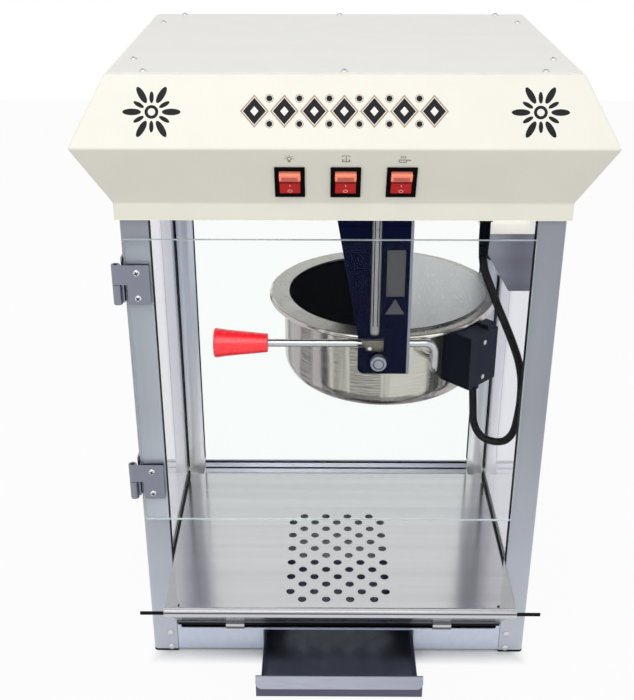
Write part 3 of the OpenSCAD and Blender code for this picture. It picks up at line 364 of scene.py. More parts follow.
def strips(name, slot, corners, finish=None, width=None):
    """Plain strips of the cabinet that no CAD node holds, each between two corners, as one piece."""
    piece = joined(name, *(block(name, low, high) for low, high in corners))
    softened(piece, width or bpy.context.scene.popcorn_sizes.edge / 4, 1, 40)
    return finished(piece, "cabinet", slot, finish or slot, weighted=False)


def upper_face(x, slant):
    """Place and turn of something lying on the canopy's upper front face."""
    angle = atan2(ROOF[1] - RIDGE[1], RIDGE[0] - ROOF[0])
    return at(x, cos(angle) * slant - RIDGE[0], RIDGE[1] + sin(angle) * slant), (angle, 0, 0)


def under_face(x, drop, lift=0.0):
    """Place and turn of something lying on the canopy's undercut, below its ridge."""
    run, rise = RIDGE[0] - BAND[0], RIDGE[1] - BAND[1]
    angle = atan2(rise, -run)
    y = -RIDGE[0] - cos(angle) * drop - sin(angle) * lift
    z = RIDGE[1] - sin(angle) * drop + cos(angle) * lift
    return at(x, y, z), (angle, 0, 0)


# ---------- Finishes ----------


# Every finish of the machine, by name
FINISHES = {}


def fed(tree, node, *values, **named_values):
    """Gives a shader node its inputs, each as a value or as the output that feeds it."""
    sockets = list(zip(node.inputs, values))
    sockets += [(node.inputs[name.replace("_", " ")], value) for name, value in named_values.items()]
    for socket, value in sockets:
        if isinstance(value, bpy.types.NodeSocket):
            tree.links.new(value, socket)
        else:
            socket.default_value = value
    return node


def new(tree, kind, *values, **named_values):
    return fed(tree, tree.nodes.new("ShaderNode" + kind), *values, **named_values)


def maths(tree, operation, first, second):
    step = new(tree, "Math", first, second)
    step.operation = operation
    return step.outputs[0]


def mixed(tree, share, first, second):
    """Mixes two colours."""
    mix = new(tree, "Mix")
    mix.data_type = "RGBA"
    return fed(tree, mix, Factor=share, A=first, B=second).outputs["Result"]


def shown(tree, share, first, second, output):
    """Shows a mix of two shaders: the first, and the second by its share."""
    mix = new(tree, "MixShader", share, first, second)
    tree.links.new(mix.outputs["Shader"], tree.nodes[output].inputs["Surface"])


def eye_rays(tree):
    """1 on rays that reach the eye: straight, off a gloss or through a pane. Otherwise 0."""
    path = new(tree, "LightPath").outputs
    bent = maths(tree, "MAXIMUM", path["Is Transmission Ray"], path["Is Glossy Ray"])
    return maths(tree, "MAXIMUM", path["Is Camera Ray"], bent)


class Finish:
    """A procedural material: a Principled shader, and patterns on Object coordinates."""

    def __init__(self, name, base, roughness, metallic=0.0, **sockets):
        FINISHES[name] = bpy.data.materials.new(name)
        FINISHES[name].use_nodes = True
        self.tree = FINISHES[name].node_tree
        self.shader = self.tree.nodes["Principled BSDF"]
        self.place = new(self.tree, "TexCoord").outputs["Object"]
        fed(self.tree, self.shader, Base_Color=(*base, 1), Roughness=roughness, Metallic=metallic,
            **sockets)

    def pattern(self, kind, size, stretch=(1, 1, 1), **settings):
        """A noise or cell pattern whose grains measure size metres, stretched along the axes."""
        scale = [1 / (size * share) for share in stretch]
        mapping = new(self.tree, "Mapping", Vector=self.place, Scale=scale)
        return new(self.tree, kind, Vector=mapping.outputs["Vector"], Scale=1, **settings)

    def noise(self, size, stretch=(1, 1, 1), **settings):
        return self.pattern("TexNoise", size, stretch, **settings).outputs["Fac"]

    def cells(self, size, stretch=(1, 1, 1)):
        return self.pattern("TexVoronoi", size, stretch).outputs["Distance"]

    def along(self, axis):
        """The place along one axis, in metres."""
        return new(self.tree, "SeparateXYZ", self.place).outputs[axis]

    def ranged(self, value, low, high, start=0.3, end=0.7):
        """Takes a value's range from start to end, to the range from low to high."""
        return new(self.tree, "MapRange", Value=value, From_Min=start, From_Max=end, To_Min=low,
                   To_Max=high).outputs["Result"]

    def roughness(self, value, low, high):
        fed(self.tree, self.shader, Roughness=self.ranged(value, low, high))

    def tint(self, value, other, start=0.3, end=0.7):
        """Mixes the base colour with another along a pattern; a second call tints the result."""
        socket = self.shader.inputs["Base Color"]
        base = socket.links[0].from_socket if socket.is_linked else tuple(socket.default_value)
        share = self.ranged(value, 0, 1, start, end)
        self.tree.links.new(mixed(self.tree, share, base, (*other, 1)), socket)

    def bump(self, value, depth, strength):
        bump = new(self.tree, "Bump", Strength=strength, Distance=depth, Height=value)
        fed(self.tree, self.shader, Normal=bump.outputs["Normal"])


def shade(base, factor):
    return tuple(min(1.0, value * factor) for value in base)


def powder_coat(name, base):
    made = Finish(name, base, 0.42, Coat_Weight=0.12, Coat_Roughness=0.3)
    made.roughness(made.noise(0.012), 0.38, 0.46)
    made.tint(made.noise(0.05, Detail=3.0), shade(base, 0.975))
    made.bump(made.noise(0.0016, Detail=1.0), 0.00004, 0.5)


def brushed(name, base, direction, rough, grain=0.0005, depth=0.00001, streak_tone=0.9):
    """Brushed metal whose strokes run along one axis."""
    stretch = [1, 1, 1]
    stretch[direction] = 60
    made = Finish(name, base, rough[0], 1.0)
    strokes = made.noise(grain, stretch)
    made.roughness(strokes, *rough)
    made.tint(made.noise(0.02, stretch), shade(base, streak_tone))
    made.bump(strokes, depth, 0.4)


def moulded(name, base, rough=(0.4, 0.5), grain=0.0007, **sockets):
    made = Finish(name, base, rough[0], **sockets)
    made.roughness(made.noise(0.006), *rough)
    made.tint(made.noise(0.03, Detail=3.0), shade(base, 1.25))
    made.bump(made.noise(grain), 0.00003, 0.35)


def clear_pane(name, base):
    """Clear float glass that lets light through to what stands behind it."""
    made = Finish(name, base, 0.0, Transmission_Weight=1.0, IOR=1.1)
    made.roughness(made.noise(0.25, Detail=1.0), 0.0, 0.01)
    clear = new(made.tree, "BsdfTransparent", Color=(*shade(base, 0.98), 1))
    shadow = new(made.tree, "LightPath").outputs["Is Shadow Ray"]
    shown(made.tree, shadow, made.shader.outputs["BSDF"], clear.outputs["BSDF"], "Material Output")


def ground_edge(name, base):
    """The ground edge of a pane, which looks fuller and greener than its body."""
    made = Finish(name, base, 0.18, Transmission_Weight=0.3, IOR=1.45)
    made.roughness(made.noise(0.004), 0.12, 0.26)
    made.tint(made.noise(0.03), shade(base, 0.86))
    made.bump(made.noise(0.0006), 0.00001, 0.3)


def make_metals(c):
    brushed("brushed_steel", c.steel, 0, (0.16, 0.28), 0.0006)
    brushed("lid_steel", shade(c.steel, 0.84), 1, (0.26, 0.36), 0.0004, 0.000003, 0.94)
    brushed("deck_steel", c.steel, 0, (0.1, 0.2), 0.0004)
    brushed("bright_steel", shade(c.steel, 1.08), 2, (0.1, 0.2), 0.0004)
    brushed("rod_steel", shade(c.steel, 0.86), 0, (0.14, 0.24), 0.0004)
    brushed("rib_steel", shade(c.steel, 0.52), 2, (0.16, 0.26), 0.0004)
    brushed("hinge_steel", c.hinge, 2, (0.3, 0.42))
    brushed("painted_shade_steel", shade(c.hinge, 0.5), 0, (0.3, 0.4))
    brushed("shade_steel", c.shade, 0, (0.34, 0.46), 0.0005, 0.00002, 0.8)
    brushed("tray_steel", c.tray, 1, (0.3, 0.4))
    brushed("lip_steel_painted_light", c.lip, 0, (0.34, 0.46))
    brushed("front_steel", c.front, 0, (0.36, 0.46))
    brushed("groove_painted_shade_steel", shade(c.front, 1.1), 0, (0.24, 0.34))
    brushed("blank_steel", c.blank, 2, (0.34, 0.44))
    brushed("sill_steel", c.sill, 0, (0.3, 0.4))
    brushed("rim_steel", c.rim, 2, (0.18, 0.3), 0.012, 0.000002, 0.86)

    # The back posts take a paler copy of the same aluminium: painted light
    for name, base in (("post_aluminium", c.post), ("back_aluminium_painted_light", shade(c.post, 2.2))):
        upright = (1, 1, 60)
        post = Finish(name, base, 0.34, 0.55)
        lines = post.noise(0.0008, upright)
        post.roughness(lines, 0.3, 0.42)
        post.tint(post.noise(0.02, upright), shade(base, 0.9))
        # Painted shade under the canopy and painted light towards the floor
        post.tint(post.along("Z"), shade(base, 1.5), 0.36, 0.06)
        post.tint(post.along("Z"), shade(base, 0.8), 0.46, 0.62)
        post.bump(lines, 0.00001, 0.4)

    zinc = Finish("galvanised", c.zinc, 0.36, 0.55)
    zinc.roughness(zinc.cells(0.006), 0.3, 0.42)
    zinc.tint(zinc.cells(0.008, (1, 1, 1.6)), shade(c.zinc, 0.9), 0.2, 0.9)
    zinc.tint(zinc.noise(0.0012, (6, 1, 1)), shade(c.zinc, 0.94))
    zinc.bump(zinc.noise(0.0009), 0.00002, 0.3)

    # The hangers' mirror steel, with a painted dark reflection as its colour
    dark = Finish("dark_mirror_steel", c.dark_reflection, 0.12, 1.0)
    dark.roughness(dark.noise(0.03, Detail=4.0), 0.1, 0.2)
    dark.tint(dark.noise(0.18), shade(c.dark_reflection, 1.6))
    dark.bump(dark.noise(0.02), 0.00002, 0.2)

    # The kettle is brushed round its wall; dark upright streaks on it are painted reflections of the room
    round_wall, reflection_streaks = (40, 40, 1), (1, 1, 30)
    kettle = Finish("polished_steel", c.kettle, 0.16, 1.0)
    kettle.roughness(kettle.noise(0.0006, round_wall), 0.12, 0.24)
    kettle.tint(kettle.noise(0.019, reflection_streaks, Detail=3.0), shade(c.kettle, 0.2), 0.46, 0.58)
    kettle.tint(kettle.noise(0.0006, round_wall), shade(c.kettle, 0.8))
    kettle.bump(kettle.noise(0.0008, round_wall), 0.000006, 0.3)

    # The rim's bead: a paler copy of the kettle's steel, a painted highlight, with the same painted
    # reflection streaks
    bead = Finish("bead_steel_painted_highlight", shade(c.kettle, 1.12), 0.14, 1.0)
    bead.roughness(bead.noise(0.004), 0.1, 0.2)
    bead.tint(bead.noise(0.03, reflection_streaks), shade(c.kettle, 0.62), 0.5, 0.62)
    bead.bump(bead.noise(0.002), 0.000004, 0.2)

    cast = Finish("cast_aluminium", c.cast, 0.42, 0.85)
    cast.roughness(cast.noise(0.003), 0.36, 0.52)
    cast.tint(cast.noise(0.008, Detail=4.0), shade(c.cast, 0.8))
    cast.bump(cast.noise(0.0009, Detail=3.0), 0.00012, 0.6)

    knob = Finish("knob_zinc", shade(c.zinc, 0.5), 0.3, 0.9)
    knob.roughness(knob.noise(0.002), 0.26, 0.4)
    knob.tint(knob.noise(0.004, Detail=3.0), shade(c.zinc, 0.4))
    knob.bump(knob.noise(0.0006), 0.00001, 0.3)


def make_plastics(c):
    dull = {"Specular_IOR_Level": 0.12}
    matt = {"Specular_IOR_Level": 0.02}
    moulded("bezel_plastic", c.black, (0.3, 0.42), **matt)
    moulded("black_plastic", c.black, (0.36, 0.48), **dull)
    moulded("slate_plastic", c.slate, (0.3, 0.42), **matt)
    moulded("slate_painted_light", c.slate_painted_light, (0.3, 0.42), **matt)
    moulded("rocker_seam", c.seam, (0.3, 0.4), **matt)
    moulded("rocker_window", c.window, (0.2, 0.3))
    moulded("rubber", c.rubber, (0.62, 0.78), 0.0005, **dull)
    moulded("cord_rubber", c.rubber, (0.36, 0.5), 0.0004, **dull)
    moulded("red_plastic", c.grip, (0.2, 0.3), 0.0012, Coat_Weight=0.4, Coat_Roughness=0.12)
    # Painted light: the top of the lamp's shade glows cream, for the light falling on it
    moulded("shade_top", c.paint, Emission_Color=(*c.paint, 1), Emission_Strength=0.4)
    moulded("ink", c.ink, **dull)
    moulded("outline_ink", c.outline)
    moulded("icon_ink", c.icon)
    moulded("mark_ink", c.mark)

    bowl = Finish("dark_coating", c.bowl, 0.36, **matt)
    bowl.roughness(bowl.noise(0.004), 0.3, 0.46)
    bowl.tint(bowl.noise(0.0008), shade(c.bowl, 1.7), 0.55, 0.7)
    bowl.bump(bowl.noise(0.0007), 0.00003, 0.4)

    bulb = Finish("bulb_glass", tone(244, 240, 228), 0.18, Subsurface_Weight=0.4, Coat_Weight=0.6)
    bulb.roughness(bulb.noise(0.004), 0.14, 0.24)
    bulb.bump(bulb.noise(0.002), 0.00001, 0.2)

    # Painted light: the rockers' upper half, which faces up, is paler and glows
    rocker = Finish("rocker_red", c.rocker, 0.24, Specular_IOR_Level=0.15,
                    Emission_Color=(1, 0.26, 0.17, 1))
    rocker.roughness(rocker.noise(0.003), 0.16, 0.26)
    middle = under_face(0, SWITCH_DROP)[0].z
    painted_light_band = middle + 0.0003, middle + 0.0022
    height = rocker.along("Z")
    rocker.tint(height, c.rocker_painted_light, *painted_light_band)
    fed(rocker.tree, rocker.shader, Emission_Strength=rocker.ranged(height, 0.03, 0.4, *painted_light_band))
    rocker.bump(rocker.noise(0.0012), 0.00001, 0.2)


# The finish of each CAD node that stays as it is
NODE_FINISHES = {
    "galvanised": ("base_panels", "drawer_runners"),
    "rubber": ("rubber_feet", "glass_gaskets"),
    "brushed_steel": ("canopy_floor", "gear_motor", "hanger_gear_case", "kettle_gear_case"),
    "bright_steel": ("drive_rod", "cross_shaft", "stirrer", "housing_screws"),
    "hinge_steel": ("hinge_pins",),
    "rod_steel": ("handle_rod",),
    "cast_aluminium": ("heater_plate",),
    "bulb_glass": ("lamp_bulb",),
    "black_plastic": ("mains_inlet", "outlet_socket"),
}


class Piece(bpy.types.Operator):
    """What every operator of the machine shares."""

    bl_options = {"REGISTER", "UNDO"}

    @property
    def sizes(self):
        return bpy.context.scene.popcorn_sizes


class POPCORN_OT_camera(Piece):
    """Adds the camera that looks slightly down on the front"""
    bl_idname = "popcorn.camera"
    bl_label = "Camera"

    def execute(self, context):
        rest()
        bpy.ops.object.camera_add(location=(-0.0209, -1.268684, 0.974),
                                  rotation=(radians(64.14), 0, radians(0.36)))
        camera = context.active_object
        camera.name = "camera"
        camera.data.sensor_fit = "HORIZONTAL"
        camera.data.sensor_width = 36
        camera.data.lens = 61.36
        camera.data.clip_start = 0.01
        context.scene.camera = camera
        return {"FINISHED"}


# The cord's route from the housing's gland, down and round, and up to the plug
GLAND = (164.182, 79.965, 350)
PLUG = (163, 64, 526)
CORD_ROUTE = [(GLAND[0] + x, GLAND[1] + y, GLAND[2] + z) for x, y, z in (
    (0, 0, 0), (1, -1, -15), (2, -2, -30), (3, -4, -44), (7, -7, -56), (15, -11, -65),
    (27, -16, -68), (39, -21, -65), (47, -24, -56), (51, -27, -42), (53, -29, -22),
    (54, -30, 0))] + [(PLUG[0] + x, PLUG[1] + y, PLUG[2] + z) for x, y, z in (
        (54, -14, -150), (49, -13, -126), (41, -11, -104), (32, -8, -83), (21, -5, -59),
        (11, -2, -35), (3, 0, -15), (0, 0, 0))]
CORD_DIAMETER = 9.5


def smooth_route(points, steps=6):
    """Points of a smooth curve through the route's points."""
    ends = [2 * points[0] - points[1], *points, 2 * points[-1] - points[-2]]
    route = []
    for a, b, c, d in zip(ends, ends[1:], ends[2:], ends[3:]):
        for i in range(steps):
            t = i / steps
            route.append(0.5 * (2 * b + (c - a) * t + (2 * a - 5 * b + 4 * c - d) * t * t
                                + (3 * b - a - 3 * c + d) * t ** 3))
    return route + [points[-1]]


def tube(name, route, diameter, sides=16):
    """A round tube along a route, as a mesh."""
    curve = bpy.data.curves.new(name, "CURVE")
    curve.dimensions = "3D"
    spline = curve.splines.new("POLY")
    spline.points.add(len(route) - 1)
    for point, place in zip(spline.points, route):
        point.co = (*place, 1)
    curve.bevel_depth = diameter / 2000
    curve.bevel_resolution = sides // 4
    curve.use_fill_caps = True
    piece = bpy.data.objects.new(name, curve)
    bpy.context.scene.collection.objects.link(piece)
    choose(piece)
    bpy.ops.object.convert(target="MESH")
    return bpy.context.active_object


class POPCORN_OT_kettle_cord(Piece):
    """Makes the kettle's cord and its ribbed plug"""
    bl_idname = "popcorn.kettle_cord"
    bl_label = "Kettle cord"

    def execute(self, context):
        route = smooth_route([at(*point) for point in CORD_ROUTE])
        cord = tube("cord", route, CORD_DIAMETER)

        low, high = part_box("kettle_plug")
        reach = (high.z - low.z) * 1000
        root, body, shoulder = CORD_DIAMETER / 2 + 0.25, CORD_DIAMETER / 2 + 1.5, 22
        rings = [(0, 0), (root, 0)]
        for rib in range(self.sizes.plug_ribs):
            start = 3 + rib * 3.6
            width = root + (body - root) * start / shoulder
            rings += [(width, start), (width - 0.6, start + 0.5), (width - 0.6, start + 1.3),
                      (width + 0.15, start + 1.8)]
        rings += [(body, shoulder), (body, reach - 0.4), (body - 0.4, reach), (0, reach)]
        plug = moved(turned("plug", rings, 48), at(*CORD_ROUTE[-1]))
        finished(plug, "cabinet", "black_plastic", "slate_plastic", "kettle_plug")

        choose(painted(cord, "cord_rubber"))
        bpy.ops.object.shade_smooth()
        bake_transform(cord)
        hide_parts("kettle_cord")
        return {"FINISHED"}


class POPCORN_OT_finishes(Piece):
    """Mixes the finishes and puts them on the CAD nodes that stay"""
    bl_idname = "popcorn.finishes"
    bl_label = "Finishes"

    def execute(self, context):
        c = context.scene.popcorn_colours
        powder_coat("cream_paint", c.paint)
        powder_coat("roof_paint", c.roof)
        make_metals(c)
        make_plastics(c)
        clear_pane("clear_glass", c.glass)
        clear_pane("side_glass", c.side_glass)
        ground_edge("glass_edge", c.glass_edge)
        for finish, names in NODE_FINISHES.items():
            for name in names:
                painted(frame["nodes"][name], finish)
        return {"FINISHED"}


def screw_heads(name, node, body, spots):
    """Domed screw heads with a cross recess, one at each spot, in a CAD node's place."""
    radius, height, seat = 4.2, 2.4, 0.15
    slot, reach = 0.16 * radius, 0.55 * radius
    rings = [(radius * 0.9, -0.3), (radius, 0)]
    rings += [(radius * cos(radians(a)), seat + (height - seat) * sin(radians(a)))
              for a in (4, 20, 38, 55, 70, 82)]
    head = turned("screw", rings + [(0, height)], 32)
    cutters = []
    for x, y in ((reach, slot), (slot, reach)):
        rest()
        bpy.ops.mesh.primitive_cube_add(size=1, location=(0, 0, height / 1000),
                                        scale=(2 * x / 1000, 2 * y / 1000, height / 1000 * 1.1))
        cutters.append(placed(bpy.context.active_object))
    for cutter in cutters:
        modified(head, "BOOLEAN", operation="DIFFERENCE", object=cutter, solver="EXACT")
        bpy.data.objects.remove(cutter)
    # Painted shade: the cross recess is black
    inner, floor = radius * 0.6 / 1000, height * 0.6 / 1000
    second_finish(painted(head, "bright_steel"), "black_plastic", lambda face:
                  face.center.xy.length < inner and face.center.z > 0
                  and (abs(face.normal.z) < 0.3 or face.center.z < floor))
    return finished(copies(head, name, spots), body, "bright_steel", None, node)


class POPCORN_OT_canopy(Piece):
    """Makes the folded canopy, its cover and the cover's screws"""
    bl_idname = "popcorn.canopy"
    bl_label = "Canopy"

    def execute(self, context):
        dressed("canopy_shell", "canopy", "cream_paint", self.sizes.fold, 3, 12)
        dressed("canopy_cover", "roof_cover", "roof_paint")
        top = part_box("canopy_cover")[1].z * 1000
        along_ends = [(x, y) for x in (-205, 0, 205) for y in (9, 374)]
        along_sides = [(x, y) for x in (-224.5, 224.5) for y in (72, 311)]
        # Each screw has a turn of its own
        spots = [(at(x, y, top), (0, 0, 0.4 + x * 0.013 + y * 0.007))
                 for x, y in along_ends + along_sides]
        screw_heads("cover_screw_heads", "cover_screws", "cabinet", spots)
        return {"FINISHED"}


def flat_shape(sides, half_x, half_y, hole=0.0, turn=0.0):
    """A flat plate of ink, its outline a polygon with this many sides, with a hole of that share."""
    rest()
    bpy.ops.mesh.primitive_circle_add(vertices=sides, radius=1, fill_type="NGON")
    piece = moved(bpy.context.active_object, (0, 0, 0), (0, 0, turn))
    piece.scale = (half_x / 1000, half_y / 1000, 1)
    placed(piece)
    if hole:
        edit(piece)
        bpy.ops.mesh.inset(thickness=min(half_x, half_y) * (1 - hole) / 1000)
        bpy.ops.mesh.delete(type="FACE")
        rest()
    return piece


def flat_bar(half_x, half_y):
    return flat_shape(4, half_x * 2 ** 0.5, half_y * 2 ** 0.5, 0, pi / 4)


def spun(piece, turn):
    return moved(piece, (0, 0, 0), (0, 0, turn))


def inked(piece, spot):
    """Gives a flat plate the thickness of its ink and lays it on its spot, a place and a turn."""
    ink = bpy.context.scene.popcorn_sizes.ink
    return moved(modified(piece, "SOLIDIFY", thickness=ink, offset=1), *spot)


class POPCORN_OT_prints(Piece):
    """Prints the ornament band, the two rosettes and the switch symbols on the canopy"""
    bl_idname = "popcorn.prints"
    bl_label = "Prints"

    def execute(self, context):
        lozenges, first, pitch = 7, -91, 30.3
        middle = 39
        units, outlines = [], []
        for i in range(lozenges):
            x = first + i * pitch
            spot = upper_face(x, middle)
            outlines.append(inked(flat_shape(4, 14.6, 17, 0.9), spot))
            units.append(inked(flat_shape(4, 11.6, 13.6, 0.52), spot))
            for slant in (middle - 13, middle + 13) if i < lozenges - 1 else ():
                spot = upper_face(x + pitch / 2, slant)
                units.append(inked(flat_shape(8, 3.2, 3.2), spot))
                outlines.append(inked(flat_shape(8, 4.6, 4.6, 0.86), spot))
        leaves = 12
        for x in (-195, 198):
            spot = upper_face(x, middle - 1)
            for leaf in range(leaves):
                a = 2 * pi * leaf / leaves
                reach, half_x, half_y = (15, 6, 2.2) if leaf % 2 else (20, 9.5, 3.4)
                place = (reach / 1000 * cos(a), reach / 1000 * sin(a), 0)
                units.append(inked(moved(flat_shape(16, half_x, half_y), place, (0, 0, a)), spot))
            units.append(inked(flat_shape(24, 7, 7, 0.55), spot))

        light, stir, heat = SWITCH_XS
        bulb = 12
        symbols = [inked(flat_shape(16, 2.6, 2.6, 0.7), under_face(light, bulb)),
                   inked(flat_bar(1.1, 0.7), under_face(light, bulb + 3.6))]
        for a in (0.0, 0.79, 1.57, 2.36, 3.14):
            ray = spun(flat_shape(4, 1.2, 0.35), a)
            symbols.append(inked(ray, under_face(light + 4.4 * cos(a), bulb - 4.4 * sin(a))))
        # A stirrer in its pot, then a pan with steam: place across and down, half sizes, turn
        bars = [(stir, 11.5, 0.4, 4.2, 0), (stir, 15.6, 4.2, 0.45, 0)]
        bars += [(stir + side * 3.4, 14, 0.45, 1.6, 0) for side in (-1, 1)]
        bars += [(stir + side * 3, 8.4, 1.7, 0.4, -side * 0.5) for side in (-1, 1)]
        bars += [(heat, 13.4, 4.2, 0.4, 0), (heat, 16.4, 3.4, 0.4, 0)]
        bars += [(heat + side * 3.8, 14.9, 0.4, 1.6, -side * 0.2) for side in (-1, 1)]
        bars += [(heat + 6.4, 13.6, 1.7, 0.45, 0)]
        bars += [(heat + dx, 9.8, 0.35, 1.6, 0) for dx in (-2, 0, 2)]
        for x, drop, half_x, half_y, turn in bars:
            symbols.append(inked(spun(flat_bar(half_x, half_y), turn), under_face(x, drop)))

        for name, shapes, finish in (("ornament_ink", units, "ink"),
                                     ("ornament_outline", outlines, "outline_ink"),
                                     ("switch_symbols", symbols, "icon_ink")):
            finished(joined(name, *shapes), "cabinet", "black_plastic", finish, crease=30,
                     weighted=False)
        return {"FINISHED"}


# A rocker's two halves slope down from the edge across its middle, in millimetres
ROCKER_DEPTH = 6.2
ROCKER_FALL = 2.3
ROCKER_HALF = 14.2
ROCKER_SEAT = 5


def rocker_face(x, rise):
    """Place and turn of something lying on a rocker, a rise above its middle edge."""
    slope = atan2(ROCKER_FALL, ROCKER_HALF)
    deep = -ROCKER_DEPTH - ROCKER_FALL * abs(rise) / ROCKER_HALF
    across = deep * cos(ROCKER_TILT) - rise * sin(ROCKER_TILT)
    along = deep * sin(ROCKER_TILT) + rise * cos(ROCKER_TILT)
    place, turn = under_face(x, SWITCH_DROP - along, -across - ROCKER_SEAT)
    return place, (turn[0] + ROCKER_TILT + (slope if rise > 0 else -slope), 0, 0)


class POPCORN_OT_switches(Piece):
    """Makes the three rockers with their windows and marks, and their bezels"""
    bl_idname = "popcorn.switches"
    bl_label = "Switches"

    def execute(self, context):
        dressed("switch_bezels", "bezels", "black_plastic", 0.0006, 2, 40, finish="bezel_plastic")
        for node, x in zip(("rocker_light", "rocker_stir", "rocker_heat"), SWITCH_XS):
            dressed(node, node + "_cap", "rocker_red", 0.0007, 3, 20, node)
            for part, finish, shapes in (
                    ("window", "rocker_window", [inked(flat_bar(8.6, 3.5), rocker_face(x, 7.1))]),
                    ("seam", "rocker_seam", [inked(flat_bar(10.6, 0.55), rocker_face(x, 0.6))]),
                    ("marks", "mark_ink", [
                        inked(flat_bar(0.5, 1.1), rocker_face(x, -3.2)),
                        inked(flat_shape(24, 2.5, 1.9, 0.68), rocker_face(x, -10.2))])):
                plate = joined(f"{node}_{part}", *shapes)
                finished(plate, node, "rocker_red", finish, weighted=False)
        return {"FINISHED"}


class POPCORN_OT_posts(Piece):
    """Makes the four extruded corner posts and the screws in them"""
    bl_idname = "popcorn.posts"
    bl_label = "Posts"

    def execute(self, context):
        for node in ("post_front_left", "post_front_right", "post_back_left", "post_back_right"):
            finish = "post_aluminium" if "front" in node else "back_aluminium_painted_light"
            dressed(node, node + "_extrusion", "post_aluminium", 0.0004, finish=finish, crease=40)
        dressed("post_screws", "post_screw_heads", "bright_steel", 0.0002, 1, 40)
        return {"FINISHED"}


def pane(node, name, body="cabinet", finish="clear_glass"):
    """A pane with ground edges, fuller in colour along them."""
    low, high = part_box(node)
    thin = min(range(3), key=lambda axis: (high - low)[axis])
    width = bpy.context.scene.popcorn_sizes.glass_edge
    piece = dressed(node, name, "clear_glass", width, 1, 40, body, finish, crease=20, weighted=False)
    second_finish(piece, "glass_edge", lambda face: abs(face.normal[thin]) < 0.9)


class POPCORN_OT_glass(Piece):
    """Makes the side panes, the back pane, the door and the strips that hold the panes"""
    bl_idname = "popcorn.glass"
    bl_label = "Glass"

    def execute(self, context):
        # Painted shade: the side panes take a greyer copy of the clear glass
        pane("side_glass_left", "left_pane", finish="side_glass")
        pane("side_glass_right", "right_pane", finish="side_glass")
        pane("back_glass", "back_pane")
        pane("door_glass", "door_pane", "door")
        # The sill's top stands lower than the CAD's
        sill_top, lowered = 0.0635, 0.0046
        sill = copied("back_sill", "sill")
        edit(sill, "VERT", lambda vert: vert.co.z > sill_top)
        bpy.ops.transform.translate(value=(0, 0, -lowered))
        rest()
        softened(sill, self.sizes.edge / 2, 2, 40)
        finished(sill, "cabinet", "brushed_steel", "sill_steel", "back_sill")
        corners = []
        for side in (-1, 1):
            # The last strip of each side darkens the front post's inner side face
            for x0, x1, y0, y1 in (
                    (230.5, 231.8, 31.8, 35.4), (236.2, 237.4, 31.8, 35.4),
                    (230.5, 231.8, 347.0, 351.2), (236.2, 237.4, 347.0, 351.2),
                    (208.2, 209.3, 372.4, 373.8), (208.2, 209.3, 378.2, 379.4),
                    (208.8, 209.3, 1.2, 10.2)):
                left, right = sorted((side * x0, side * x1))
                corners.append(((left, y0, 65), (right, y1, 597.4)))
        corners += [((-208, 369.5, 50.2), (208, 370.1, 51.4)),
                    ((-208, 369.5, 59.4), (208, 373.8, 60.0))]
        strips("glazing_strips", "rubber", corners)
        return {"FINISHED"}


class POPCORN_OT_hinges(Piece):
    """Makes the door's two hinges and their screws"""
    bl_idname = "popcorn.hinges"
    bl_label = "Hinges"

    def execute(self, context):
        for node, name, body in (("hinge_cabinet_leaves", "cabinet_leaves", "cabinet"),
                                 ("hinge_door_leaves", "door_leaves", "door")):
            dressed(node, name, "bright_steel", SHEET_EDGE, 2, 40, body, "hinge_steel")
        spots = [(at(-225, -8, z + dz), (pi / 2, 0.3 + z * 0.01 + dz * 0.02, 0))
                 for z in (242, 497) for dz in (8, 38)]
        screw_heads("hinge_screw_heads", "hinge_screws", "door", spots)
        return {"FINISHED"}


